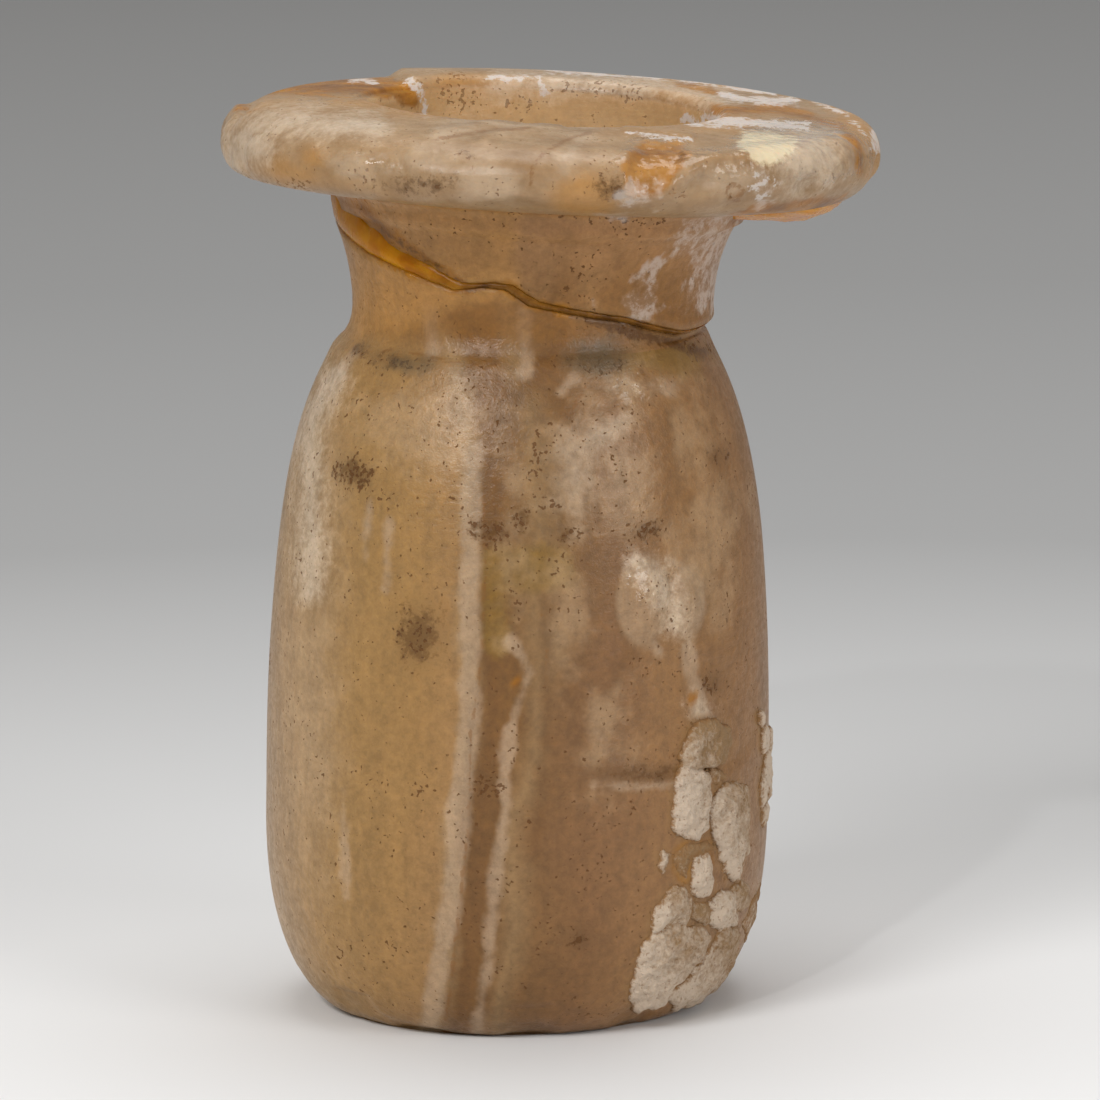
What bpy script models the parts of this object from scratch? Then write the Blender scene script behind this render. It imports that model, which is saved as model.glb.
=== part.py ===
"""Ancient alabaster cosmetic jar: rounded body, short neck and wide thick rim, hollow, with a glued break.

The jar stands on the plane z = 0 with the centre of its foot at the origin, in metres. The front is towards -Y
and the right is towards +X. Angles round the jar are counted from the front, positive towards the right.
"""

import math

import bmesh
import bpy

MM = 0.001

# Heights, stacked from the foot up
BODY_HEIGHT = 67.1 * MM
NECK_LENGTH = 13.2 * MM
RIM_HEIGHT = 9.7 * MM
WIDEST_FROM = 20.0 * MM
WIDEST_TO = 25.0 * MM

# Outer radii
FOOT_RADIUS = 18.0 * MM
WIDEST_RADIUS = 25.0 * MM
NECK_ROOT_RADIUS = 17.9 * MM
NECK_WAIST_RADIUS = 17.2 * MM
NECK_TOP_RADIUS = 20.0 * MM
RIM_RADIUS = 32.5 * MM

# Section of the rim
RIM_EDGE_THICKNESS = 7.7 * MM
RIM_EDGE_WIDTH = 4.8 * MM
RIM_TOP_FALL = 0.6 * MM
RIM_FILLET = 1.4 * MM
CREST_WIDTH = 3.0 * MM
LIP_ROUNDING = 1.4 * MM

# Walls and the hollow
LIP_WALL = 2.7 * MM
NECK_WALL = 2.8 * MM
BODY_WALL = 5.5 * MM
FLOOR_THICKNESS = 8.0 * MM
HOLLOW_WIDEST_RISE = 19.0 * MM

# Unevenness of the handwork
LEAN = math.radians(1.5)
RIM_TILT = math.radians(3.9)
RIM_NOD = math.radians(0.6)
NECK_OFFSET = 0.6 * MM
RIM_OFFSET = 0.9 * MM
ROOT_BLEND = 1.5 * MM
ROOT_FILLET = 0.4 * MM
ROOT_REACH = 3.0 * MM
EDGE_SKEW = 1.0 * MM
FRONT_LIFT = 1.6 * MM
FOOT_WEAR = 0.4 * MM
FOOT_WEAR_ANGLE = math.radians(-75.0)

# The break through the neck, as heights above the body, and how the upper fragment sits on the lower one
BREAK_LEFT = 11.6 * MM
BREAK_FRONT = 5.1 * MM
BREAK_RIGHT = 1.3 * MM
BREAK_BACK = 8.0 * MM
BREAK_GAP = 0.35 * MM
BREAK_GROOVE = 0.5 * MM
UPPER_SHIFT = 1.1 * MM

# Corners of the break line: angle from the front in degrees, and rise above the plain cut
BREAK_CORNERS = (
    (-90, 0.0),
    (-60, -0.8 * MM),
    (-25, -0.8 * MM),
    (-15, 0.5 * MM),
    (-8, 0.9 * MM),
    (0, 0.0),
    (30, 0.4 * MM),
    (55, -0.5 * MM),
    (90, 0.0),
    (150, 0.5 * MM),
    (210, -0.4 * MM),
    (270, 0.0),
)

# Resin fill that hangs under the right of the rim, against the neck
RESIN_ANGLE = math.radians(88.0)
RESIN_HALF_ANGLE = math.radians(34.0)
RESIN_DROP = 1.1 * MM
RESIN_FULL_WIDTH = 4.8 * MM
RESIN_WIDTH = 10.4 * MM
RESIN_EASE = 1.6

# Mineral crust on the lower right of the body: angle in degrees, height and radius of each lump
CRUST_RELIEF = 0.8 * MM
CRUST_EASE = 1.1
CRUST_LUMPS = (
    (50, 26.0 * MM, 5.5 * MM),
    (58, 17.0 * MM, 6.5 * MM),
    (47, 7.5 * MM, 6.0 * MM),
)

# Fullness of the curves: two is a circle's arc, more is squarer
LOWER_FULLNESS = 2.6
LOWER_SPRING = 0.575
SHOULDER_SHARE = 0.52
SHOULDER_POWER = 6
NECK_FLARE = 2.6
EDGE_FULLNESS = 2.2
HOLLOW_FULLNESS = 2.2
FLOOR_FULLNESS = 3.0

# Fineness of the mesh. The crowding draws the body's rings towards its foot and its shoulder
SEGMENTS = 64
LOWER_RINGS = 10
UPPER_RINGS = 14
NECK_RINGS_BELOW = 3
NECK_RINGS_ABOVE = 5
EDGE_RINGS = 5
TOP_RINGS = 3
BORE_RINGS = 6
HOLLOW_RINGS = 6
CORNER_RINGS = 3
FOOT_CROWDING = 1.7
SHOULDER_CROWDING = 1.35
WELD = 0.001 * MM
SHARP_EDGE = math.radians(50)

NECK_TOP_HEIGHT = BODY_HEIGHT + NECK_LENGTH
HEIGHT = NECK_TOP_HEIGHT + RIM_HEIGHT
MOUTH_RADIUS = NECK_TOP_RADIUS - LIP_WALL
BORE_RADIUS = NECK_WAIST_RADIUS - NECK_WALL
NECK_WALL_MIDDLE = (BORE_RADIUS + NECK_WAIST_RADIUS) / 2
HOLLOW_RADIUS = WIDEST_RADIUS - BODY_WALL
NECK_END = NECK_TOP_HEIGHT - RIM_FILLET
EDGE_MIDDLE = HEIGHT - RIM_TOP_FALL - RIM_EDGE_THICKNESS / 2
BREAK_MIDDLE = BODY_HEIGHT + (BREAK_LEFT + BREAK_RIGHT) / 2

ALABASTER_COLOUR = (0.46, 0.31, 0.19, 1.0)
ALABASTER_ROUGHNESS = 0.38


def smooth(t):
    """Eases from 0 to 1."""
    t = min(max(t, 0.0), 1.0)
    return t * t * (3 - 2 * t)


def quarter(t, fullness):
    """Height of a rounded quarter curve: 0 at its start, 1 at its end, with a level end."""
    return max(0.0, 1 - (1 - t) ** fullness) ** (1 / fullness)


def root_fillet(z):
    """How much the hollow corner between shoulder and neck is filled, which rounds it."""
    return ROOT_FILLET * max(0.0, 1 - abs(z - BODY_HEIGHT) / ROOT_REACH) ** 2


def body_radius(z):
    """Outer radius between the foot and the root of the neck."""
    if z < WIDEST_FROM:
        bulge = (1 - (1 - z / WIDEST_FROM) ** LOWER_FULLNESS) ** LOWER_SPRING
        return FOOT_RADIUS + (WIDEST_RADIUS - FOOT_RADIUS) * bulge
    t = max(0.0, (z - WIDEST_TO) / (BODY_HEIGHT - WIDEST_TO))
    fall = SHOULDER_SHARE * t**2 + (1 - SHOULDER_SHARE) * t**SHOULDER_POWER
    return WIDEST_RADIUS - (WIDEST_RADIUS - NECK_ROOT_RADIUS) * fall + root_fillet(z)


def neck_radius(z):
    """Outer radius between the root of the neck and the underside of the rim."""
    t = min(max((z - BODY_HEIGHT) / NECK_LENGTH, 0.0), 1.0)
    return NECK_WAIST_RADIUS + (NECK_TOP_RADIUS - NECK_WAIST_RADIUS) * t**NECK_FLARE + root_fillet(z)


def body_outline():
    """Foot, body and shoulder, from the axis to the root of the neck."""
    points = [(0.0, 0.0)]
    for i in range(LOWER_RINGS):
        z = WIDEST_FROM * (i / LOWER_RINGS) ** FOOT_CROWDING
        points.append((body_radius(z), z))
    span = BODY_HEIGHT - WIDEST_FROM
    for i in range(UPPER_RINGS):
        z = WIDEST_FROM + span * (1 - (1 - i / UPPER_RINGS) ** SHOULDER_CROWDING)
        points.append((body_radius(z), z))
    points.append((body_radius(BODY_HEIGHT), BODY_HEIGHT - BREAK_GAP))
    return points


def neck_outline():
    """Neck with the groove of the break half way up, where the plain cut is."""
    below = BREAK_MIDDLE - BREAK_GAP
    above = BREAK_MIDDLE + BREAK_GAP
    points = []
    for i in range(NECK_RINGS_BELOW + 1):
        z = BODY_HEIGHT + (below - BODY_HEIGHT) * i / NECK_RINGS_BELOW
        points.append((neck_radius(z), z))
    points.append((neck_radius(BREAK_MIDDLE) - BREAK_GROOVE, BREAK_MIDDLE))
    for i in range(NECK_RINGS_ABOVE + 1):
        z = above + (NECK_END - above) * i / NECK_RINGS_ABOVE
        points.append((neck_radius(z), z))
    return points


def rim_outline():
    """Underside, rounded edge and gently falling top of the rim, out from the neck and back to the lip."""
    edge = RIM_RADIUS - RIM_EDGE_WIDTH
    bottom = EDGE_MIDDLE - RIM_EDGE_THICKNESS / 2
    points = []
    for i in range(1, CORNER_RINGS + 1):
        turn = math.pi / 2 * i / CORNER_RINGS
        r = NECK_TOP_RADIUS + RIM_FILLET * (1 - math.cos(turn))
        points.append((r, NECK_END + RIM_FILLET * math.sin(turn)))
    inner_r, inner_z = points[-1]
    for i in range(1, TOP_RINGS + 1):
        t = i / TOP_RINGS
        points.append((inner_r + (edge - inner_r) * t, inner_z + (bottom - inner_z) * t))
    for i in range(1, 2 * EDGE_RINGS + 1):
        turn = math.pi / 2 * (i / EDGE_RINGS - 1)
        out = math.cos(turn) ** (2 / EDGE_FULLNESS)
        up = math.copysign(abs(math.sin(turn)) ** (2 / EDGE_FULLNESS), turn)
        points.append((edge + RIM_EDGE_WIDTH * out, EDGE_MIDDLE + RIM_EDGE_THICKNESS / 2 * up))
    crest = MOUTH_RADIUS + CREST_WIDTH
    for i in range(1, TOP_RINGS + 1):
        t = i / TOP_RINGS
        points.append((edge + (crest - edge) * t, HEIGHT - RIM_TOP_FALL * (1 - t) ** 2))
    return points


def hollow_outline():
    """Rounded lip, bore and hollow, down to the middle of the floor."""
    points = []
    for i in range(CORNER_RINGS + 1):
        turn = math.pi / 2 * i / CORNER_RINGS
        r = MOUTH_RADIUS + LIP_ROUNDING * (1 - math.sin(turn))
        points.append((r, HEIGHT - LIP_ROUNDING * (1 - math.cos(turn))))
    start = HEIGHT - LIP_ROUNDING
    for i in range(1, BORE_RINGS + 1):
        t = i / BORE_RINGS
        r = MOUTH_RADIUS + (BORE_RADIUS - MOUTH_RADIUS) * smooth(t)
        points.append((r, start + (BODY_HEIGHT - start) * t))
    widest = FLOOR_THICKNESS + HOLLOW_WIDEST_RISE
    for i in range(1, HOLLOW_RINGS + 1):
        t = i / HOLLOW_RINGS
        r = BORE_RADIUS + (HOLLOW_RADIUS - BORE_RADIUS) * quarter(t, HOLLOW_FULLNESS)
        points.append((r, BODY_HEIGHT + (widest - BODY_HEIGHT) * t))
    for i in range(1, HOLLOW_RINGS + 1):
        turn = math.pi / 2 * i / HOLLOW_RINGS
        r = HOLLOW_RADIUS * max(0.0, math.cos(turn)) ** (2 / FLOOR_FULLNESS)
        z = widest - HOLLOW_WIDEST_RISE * math.sin(turn) ** (2 / FLOOR_FULLNESS)
        points.append((0.0 if i == HOLLOW_RINGS else r, z))
    return points


def break_height(angle):
    """Height of the break line at an angle round the neck."""
    mean = (BREAK_LEFT + BREAK_RIGHT + BREAK_FRONT + BREAK_BACK) / 4
    across = (BREAK_RIGHT - BREAK_LEFT) / 2 * math.sin(angle)
    along = (BREAK_FRONT - BREAK_BACK) / 2 * math.cos(angle)
    twist = (BREAK_FRONT + BREAK_BACK - BREAK_LEFT - BREAK_RIGHT) / 4 * math.cos(2 * angle)
    degrees = (math.degrees(angle) + 90) % 360 - 90
    rise = 0.0
    for (start, low), (end, high) in zip(BREAK_CORNERS, BREAK_CORNERS[1:]):
        if start <= degrees <= end:
            rise = low + (high - low) * (degrees - start) / (end - start)
    return BODY_HEIGHT + mean + across + along + twist + rise


def follow_break(r, z, angle):
    """Moves a point of the outer neck so that the groove's ring lies on the break line."""
    line = break_height(angle)
    plain = neck_radius(z)
    if z < BREAK_MIDDLE - BREAK_GAP:
        share = (z - BODY_HEIGHT) / (BREAK_MIDDLE - BREAK_GAP - BODY_HEIGHT)
        moved = BODY_HEIGHT + share * (line - BREAK_GAP - BODY_HEIGHT)
    elif z > BREAK_MIDDLE + BREAK_GAP:
        share = (NECK_END - z) / (NECK_END - BREAK_MIDDLE - BREAK_GAP)
        moved = NECK_END - share * (NECK_END - line - BREAK_GAP)
    else:
        moved = line + z - BREAK_MIDDLE
    return r - plain + neck_radius(moved), moved


def upper_share(z, angle, outside):
    """How far a point belongs to the upper fragment, from 0 to 1."""
    if z > NECK_TOP_HEIGHT:
        return 1.0
    if z < BODY_HEIGHT:
        return 0.0
    blend = BREAK_GAP if outside else NECK_WALL
    return smooth((z - break_height(angle) + blend) / (2 * blend))


def tilt_share(z, angle, outside):
    """How much of the rim's tilt a point takes: none at the break, all at the rim."""
    start = break_height(angle) if outside else BODY_HEIGHT
    return smooth((z - start) / (NECK_TOP_HEIGHT - start))


def resin_bottom(r, z, angle):
    """Height of the underside where the resin fill levels it off below the neck's top."""
    level = NECK_TOP_HEIGHT - RESIN_DROP
    turn = abs(angle - RESIN_ANGLE) / RESIN_HALF_ANGLE
    out = (r - NECK_TOP_RADIUS - RESIN_FULL_WIDTH) / (RESIN_WIDTH - RESIN_FULL_WIDTH)
    share = smooth(RESIN_EASE * (1 - turn)) * (1 - smooth(out))
    return z - max(0.0, z - level) * share


def crust_relief(z, angle):
    """How far the mineral crust stands out of the body."""
    relief = 0.0
    for degrees, height, radius in CRUST_LUMPS:
        across = (angle - math.radians(degrees)) * WIDEST_RADIUS
        distance = math.hypot(across, z - height) / radius
        relief = max(relief, CRUST_RELIEF * smooth(CRUST_EASE * (1 - distance)))
    return relief


def outer_side(r, z):
    """Tells the outer skin from the wall of the hollow."""
    if z > NECK_END:
        return r > MOUTH_RADIUS
    if z >= BODY_HEIGHT:
        return r > NECK_WALL_MIDDLE
    return r > body_radius(z) - BODY_WALL / 2


def worn_place(x, y, z):
    """The real place of a point of the plain turned shape."""
    r = math.hypot(x, y)
    angle = math.atan2(x, -y)
    outside = outer_side(r, z)
    if outside and BODY_HEIGHT <= z <= NECK_END:
        r, z = follow_break(r, z, angle)
    if outside and 0 < z < BODY_HEIGHT:
        r += crust_relief(z, angle)
        r -= FOOT_WEAR * max(0.0, math.cos(angle - FOOT_WEAR_ANGLE)) * smooth(1 - z / WIDEST_FROM)
    upper = upper_share(z, angle, outside)
    tilt = tilt_share(z, angle, outside)
    if outside and NECK_END < z:
        thinning = FRONT_LIFT * max(0.0, math.cos(angle)) * (HEIGHT - z) / RIM_HEIGHT
        z += thinning * smooth((z - NECK_END) / RIM_FILLET)
        if z < EDGE_MIDDLE:
            z = resin_bottom(r, z, angle)
    at_edge = smooth((r - RIM_RADIUS + RIM_EDGE_WIDTH) / RIM_EDGE_WIDTH)
    z += EDGE_SKEW * at_edge * math.sin(angle)
    over_neck = smooth((r - NECK_TOP_RADIUS) / RIM_EDGE_WIDTH) if z > NECK_END else 0.0
    in_neck = smooth((z - BODY_HEIGHT + ROOT_BLEND) / (2 * ROOT_BLEND))
    x = r * math.sin(angle) + UPPER_SHIFT * upper + RIM_OFFSET * over_neck + NECK_OFFSET * in_neck
    y = -r * math.cos(angle)
    z += (y * math.tan(RIM_NOD) - x * math.tan(RIM_TILT)) * tilt
    return x + z * math.tan(LEAN), y, z


def turned_jar():
    """The plain jar, turned from its outline round the vertical axis."""
    outline = body_outline() + neck_outline() + rim_outline() + hollow_outline()
    bm = bmesh.new()
    verts = [bm.verts.new((0.0, -r, z)) for r, z in outline]
    edges = [bm.edges.new(pair) for pair in zip(verts, verts[1:])]
    bmesh.ops.spin(
        bm,
        geom=verts + edges,
        cent=(0, 0, 0),
        axis=(0, 0, 1),
        angle=2 * math.pi,
        steps=SEGMENTS,
        use_merge=True,
    )
    bmesh.ops.remove_doubles(bm, verts=bm.verts, dist=WELD)
    bmesh.ops.recalc_face_normals(bm, faces=bm.faces)
    return bm


def alabaster():
    material = bpy.data.materials.new("alabaster")
    material.use_nodes = True
    shader = material.node_tree.nodes["Principled BSDF"]
    shader.inputs["Base Color"].default_value = ALABASTER_COLOUR
    shader.inputs["Roughness"].default_value = ALABASTER_ROUGHNESS
    shader.inputs["Metallic"].default_value = 0.0
    material.diffuse_color = ALABASTER_COLOUR
    return material


def make_jar():
    bm = turned_jar()
    for vert in bm.verts:
        vert.co = worn_place(*vert.co)
    mesh = bpy.data.meshes.new("jar")
    bm.to_mesh(mesh)
    bm.free()
    mesh.materials.append(alabaster())
    mesh.shade_smooth()
    mesh.set_sharp_from_angle(angle=SHARP_EDGE)
    jar = bpy.data.objects.new("jar", mesh)
    bpy.context.scene.collection.objects.link(jar)
    return jar


def main():
    for obj in list(bpy.data.objects):
        bpy.data.objects.remove(obj, do_unlink=True)
    make_jar()


main()
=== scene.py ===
import math

import bmesh
import bpy
import numpy as np
from mathutils import Matrix, Vector, noise


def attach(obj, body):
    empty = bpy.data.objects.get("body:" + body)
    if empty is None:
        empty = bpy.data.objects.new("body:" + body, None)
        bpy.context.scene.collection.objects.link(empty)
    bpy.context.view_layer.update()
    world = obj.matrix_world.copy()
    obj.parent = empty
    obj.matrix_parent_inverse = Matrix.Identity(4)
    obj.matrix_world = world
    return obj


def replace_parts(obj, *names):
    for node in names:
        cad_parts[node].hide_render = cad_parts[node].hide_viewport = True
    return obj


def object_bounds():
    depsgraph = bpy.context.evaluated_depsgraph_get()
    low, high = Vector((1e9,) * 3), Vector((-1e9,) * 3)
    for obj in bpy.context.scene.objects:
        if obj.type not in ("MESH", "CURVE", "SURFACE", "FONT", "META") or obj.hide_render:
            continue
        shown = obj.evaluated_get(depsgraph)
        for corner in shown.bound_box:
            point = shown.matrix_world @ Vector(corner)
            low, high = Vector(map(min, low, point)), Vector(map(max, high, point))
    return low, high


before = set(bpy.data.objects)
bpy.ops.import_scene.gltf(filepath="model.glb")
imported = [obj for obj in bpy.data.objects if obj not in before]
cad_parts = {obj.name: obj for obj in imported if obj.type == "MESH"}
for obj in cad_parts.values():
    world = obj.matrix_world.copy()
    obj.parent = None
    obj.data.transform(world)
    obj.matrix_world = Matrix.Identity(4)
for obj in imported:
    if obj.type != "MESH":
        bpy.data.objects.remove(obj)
CAD_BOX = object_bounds()

MM = 0.001

# Sizes of the jar, the same as the solid's
BODY_HEIGHT = 67.1 * MM
NECK_LENGTH = 13.2 * MM
RIM_HEIGHT = 9.7 * MM
WIDEST_FROM = 20.0 * MM
WIDEST_TO = 25.0 * MM
FOOT_RADIUS = 18.0 * MM
WIDEST_RADIUS = 25.0 * MM
NECK_ROOT_RADIUS = 17.9 * MM
NECK_WAIST_RADIUS = 17.2 * MM
NECK_TOP_RADIUS = 20.0 * MM
RIM_RADIUS = 32.5 * MM
RIM_EDGE_THICKNESS = 7.7 * MM
RIM_EDGE_WIDTH = 4.8 * MM
RIM_TOP_FALL = 0.6 * MM
RIM_FILLET = 1.4 * MM
CREST_WIDTH = 3.0 * MM
LIP_ROUNDING = 1.4 * MM
LIP_WALL = 2.7 * MM
NECK_WALL = 2.8 * MM
BODY_WALL = 5.5 * MM
FLOOR_THICKNESS = 8.0 * MM
HOLLOW_WIDEST_RISE = 19.0 * MM
LEAN = math.radians(1.5)
RIM_TILT = math.radians(3.9)
RIM_NOD = math.radians(0.6)
NECK_OFFSET = 0.6 * MM
RIM_OFFSET = 0.9 * MM
ROOT_BLEND = 1.5 * MM
ROOT_FILLET = 0.4 * MM
ROOT_REACH = 3.0 * MM
EDGE_SKEW = 1.0 * MM
FRONT_LIFT = 1.6 * MM
FOOT_WEAR = 0.4 * MM
FOOT_WEAR_ANGLE = math.radians(-75.0)
BREAK_LEFT = 11.6 * MM
BREAK_FRONT = 5.1 * MM
BREAK_RIGHT = 1.3 * MM
BREAK_BACK = 8.0 * MM
BREAK_GAP = 0.35 * MM
BREAK_GROOVE = 0.5 * MM
UPPER_SHIFT = 1.1 * MM
BREAK_CORNERS = (
    (-90, 0.0), (-60, -0.8), (-25, -0.8), (-15, 0.5), (-8, 0.9), (0, 0.0),
    (30, 0.4), (55, -0.5), (90, 0.0), (150, 0.5), (210, -0.4), (270, 0.0),
)
LOWER_FULLNESS = 2.6
LOWER_SPRING = 0.575
SHOULDER_SHARE = 0.52
SHOULDER_POWER = 6
NECK_FLARE = 2.6
EDGE_FULLNESS = 2.2
HOLLOW_FULLNESS = 2.2
FLOOR_FULLNESS = 3.0

NECK_TOP_HEIGHT = BODY_HEIGHT + NECK_LENGTH
HEIGHT = NECK_TOP_HEIGHT + RIM_HEIGHT
MOUTH_RADIUS = NECK_TOP_RADIUS - LIP_WALL
BORE_RADIUS = NECK_WAIST_RADIUS - NECK_WALL
NECK_WALL_MIDDLE = (BORE_RADIUS + NECK_WAIST_RADIUS) / 2
HOLLOW_RADIUS = WIDEST_RADIUS - BODY_WALL
NECK_END = NECK_TOP_HEIGHT - RIM_FILLET
EDGE_MIDDLE = HEIGHT - RIM_TOP_FALL - RIM_EDGE_THICKNESS / 2
BREAK_MIDDLE = BODY_HEIGHT + (BREAK_LEFT + BREAK_RIGHT) / 2

# Fineness of the carved skin
SEGMENTS = 312
LOWER_RINGS = 46
UPPER_RINGS = 100
NECK_RINGS_BELOW = 12
NECK_RINGS_ABOVE = 14
GROOVE_RINGS = 3
UNDERSIDE_RINGS = 18
EDGE_RINGS = 14
TOP_RINGS = 24
CORNER_RINGS = 6
BORE_RINGS = 20
HOLLOW_RINGS = 14
SHOULDER_EASE = 2.6 * MM
EASE_ROUNDS = 14
FRONT_CROWDING = 0.3
FRONT_CROWDING_ANGLE = math.radians(30)

# The camera, as the photograph was taken
CAMERA_DISTANCE = 0.8
CAMERA_ELEVATION = math.radians(10.09)
CAMERA_AIM = Vector((0.0042, 0.0, 0.045))
CAMERA_ROLL = math.radians(0.9)
FRAME_PIXELS = 1100
FOCAL_PIXELS = 8065
SENSOR = 36.0
PIXELS_PER_MM = FOCAL_PIXELS / (CAMERA_DISTANCE / MM)


# The camera


def camera_axes():
    """The camera's right, up and forward."""
    right = Vector((1, 0, 0))
    forward = Vector((0, math.cos(CAMERA_ELEVATION), -math.sin(CAMERA_ELEVATION)))
    up = Vector((0, math.sin(CAMERA_ELEVATION), math.cos(CAMERA_ELEVATION)))
    turned_right = right * math.cos(CAMERA_ROLL) - up * math.sin(CAMERA_ROLL)
    turned_up = right * math.sin(CAMERA_ROLL) + up * math.cos(CAMERA_ROLL)
    return turned_right, turned_up, forward


def camera_place():
    return CAMERA_AIM - camera_axes()[2] * CAMERA_DISTANCE


def set_camera():
    right, up, forward = camera_axes()
    data = bpy.data.cameras.new("photograph_view")
    data.sensor_width = SENSOR
    data.lens = SENSOR * FOCAL_PIXELS / FRAME_PIXELS
    data.clip_start = 0.05
    data.clip_end = 20
    camera = bpy.data.objects.new("photograph_view", data)
    turned = Matrix((right, up, -forward)).transposed().to_4x4()
    camera.matrix_world = Matrix.Translation(camera_place()) @ turned
    bpy.context.scene.collection.objects.link(camera)
    bpy.context.scene.camera = camera


# The shape of the jar


def smooth(t):
    t = np.clip(t, 0.0, 1.0)
    return t * t * (3 - 2 * t)


def quarter(t, fullness):
    return max(0.0, 1 - (1 - t) ** fullness) ** (1 / fullness)


def root_fillet(z):
    """How much the hollow corner between shoulder and neck is filled, which rounds it."""
    return ROOT_FILLET * np.maximum(0.0, 1 - np.abs(z - BODY_HEIGHT) / ROOT_REACH) ** 2


def body_radius(z):
    rise = np.clip(1 - z / WIDEST_FROM, 0.0, 1.0)
    lower = FOOT_RADIUS + (WIDEST_RADIUS - FOOT_RADIUS) * (1 - rise**LOWER_FULLNESS) ** LOWER_SPRING
    t = np.clip((z - WIDEST_TO) / (BODY_HEIGHT - WIDEST_TO), 0.0, 1.0)
    fall = SHOULDER_SHARE * t**2 + (1 - SHOULDER_SHARE) * t**SHOULDER_POWER
    upper = WIDEST_RADIUS - (WIDEST_RADIUS - NECK_ROOT_RADIUS) * fall + root_fillet(z)
    return np.where(z < WIDEST_FROM, lower, upper)


def neck_radius(z):
    t = np.clip((z - BODY_HEIGHT) / NECK_LENGTH, 0.0, 1.0)
    return NECK_WAIST_RADIUS + (NECK_TOP_RADIUS - NECK_WAIST_RADIUS) * t**NECK_FLARE + root_fillet(z)


def foot_and_body():
    """Outline from the axis out along the foot and up to the root of the neck."""
    points = [(0.0, 0.0), (FOOT_RADIUS * 0.5, 0.0), (FOOT_RADIUS * 0.85, 0.0)]
    for i in range(LOWER_RINGS):
        z = WIDEST_FROM * (i / LOWER_RINGS) ** 1.7
        points.append((float(body_radius(z)), z))
    span = BODY_HEIGHT - WIDEST_FROM
    for i in range(UPPER_RINGS):
        z = WIDEST_FROM + span * (1 - (1 - i / UPPER_RINGS) ** 1.15)
        points.append((float(body_radius(z)), z))
    return points


def neck():
    below = BREAK_MIDDLE - BREAK_GAP
    above = BREAK_MIDDLE + BREAK_GAP
    points = []
    for i in range(NECK_RINGS_BELOW + 1):
        z = BODY_HEIGHT + (below - BODY_HEIGHT) * i / NECK_RINGS_BELOW
        points.append((float(neck_radius(z)), z))
    for i in range(1, 2 * GROOVE_RINGS):
        t = i / GROOVE_RINGS - 1
        z = BREAK_MIDDLE + BREAK_GAP * t
        points.append((float(neck_radius(z)) - BREAK_GROOVE * (1 - abs(t)), z))
    for i in range(NECK_RINGS_ABOVE + 1):
        z = above + (NECK_END - above) * i / NECK_RINGS_ABOVE
        points.append((float(neck_radius(z)), z))
    return points


def rim():
    edge = RIM_RADIUS - RIM_EDGE_WIDTH
    bottom = EDGE_MIDDLE - RIM_EDGE_THICKNESS / 2
    points = []
    for i in range(1, CORNER_RINGS + 1):
        turn = math.pi / 2 * i / CORNER_RINGS
        r = NECK_TOP_RADIUS + RIM_FILLET * (1 - math.cos(turn))
        points.append((r, NECK_END + RIM_FILLET * math.sin(turn)))
    inner_r, inner_z = points[-1]
    for i in range(1, UNDERSIDE_RINGS + 1):
        t = i / UNDERSIDE_RINGS
        points.append((inner_r + (edge - inner_r) * t, inner_z + (bottom - inner_z) * t))
    for i in range(1, 2 * EDGE_RINGS + 1):
        turn = math.pi / 2 * (i / EDGE_RINGS - 1)
        out = math.cos(turn) ** (2 / EDGE_FULLNESS) if i < 2 * EDGE_RINGS else 0.0
        up = math.copysign(abs(math.sin(turn)) ** (2 / EDGE_FULLNESS), turn)
        points.append((edge + RIM_EDGE_WIDTH * out, EDGE_MIDDLE + RIM_EDGE_THICKNESS / 2 * up))
    crest = MOUTH_RADIUS + CREST_WIDTH
    for i in range(1, TOP_RINGS + 1):
        t = i / TOP_RINGS
        points.append((edge + (crest - edge) * t, HEIGHT - RIM_TOP_FALL * (1 - t) ** 2))
    return points


def hollow():
    points = []
    for i in range(CORNER_RINGS + 1):
        turn = math.pi / 2 * i / CORNER_RINGS
        r = MOUTH_RADIUS + LIP_ROUNDING * (1 - math.sin(turn))
        points.append((r, HEIGHT - LIP_ROUNDING * (1 - math.cos(turn))))
    start = HEIGHT - LIP_ROUNDING
    for i in range(1, BORE_RINGS + 1):
        t = i / BORE_RINGS
        r = MOUTH_RADIUS + (BORE_RADIUS - MOUTH_RADIUS) * float(smooth(t))
        points.append((r, start + (BODY_HEIGHT - start) * t))
    widest = FLOOR_THICKNESS + HOLLOW_WIDEST_RISE
    for i in range(1, HOLLOW_RINGS + 1):
        t = i / HOLLOW_RINGS
        r = BORE_RADIUS + (HOLLOW_RADIUS - BORE_RADIUS) * quarter(t, HOLLOW_FULLNESS)
        points.append((r, BODY_HEIGHT + (widest - BODY_HEIGHT) * t))
    for i in range(1, HOLLOW_RINGS + 1):
        turn = math.pi / 2 * i / HOLLOW_RINGS
        r = HOLLOW_RADIUS * max(0.0, math.cos(turn)) ** (2 / FLOOR_FULLNESS)
        z = widest - HOLLOW_WIDEST_RISE * math.sin(turn) ** (2 / FLOOR_FULLNESS)
        points.append((0.0 if i == HOLLOW_RINGS else r, z))
    return points


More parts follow.
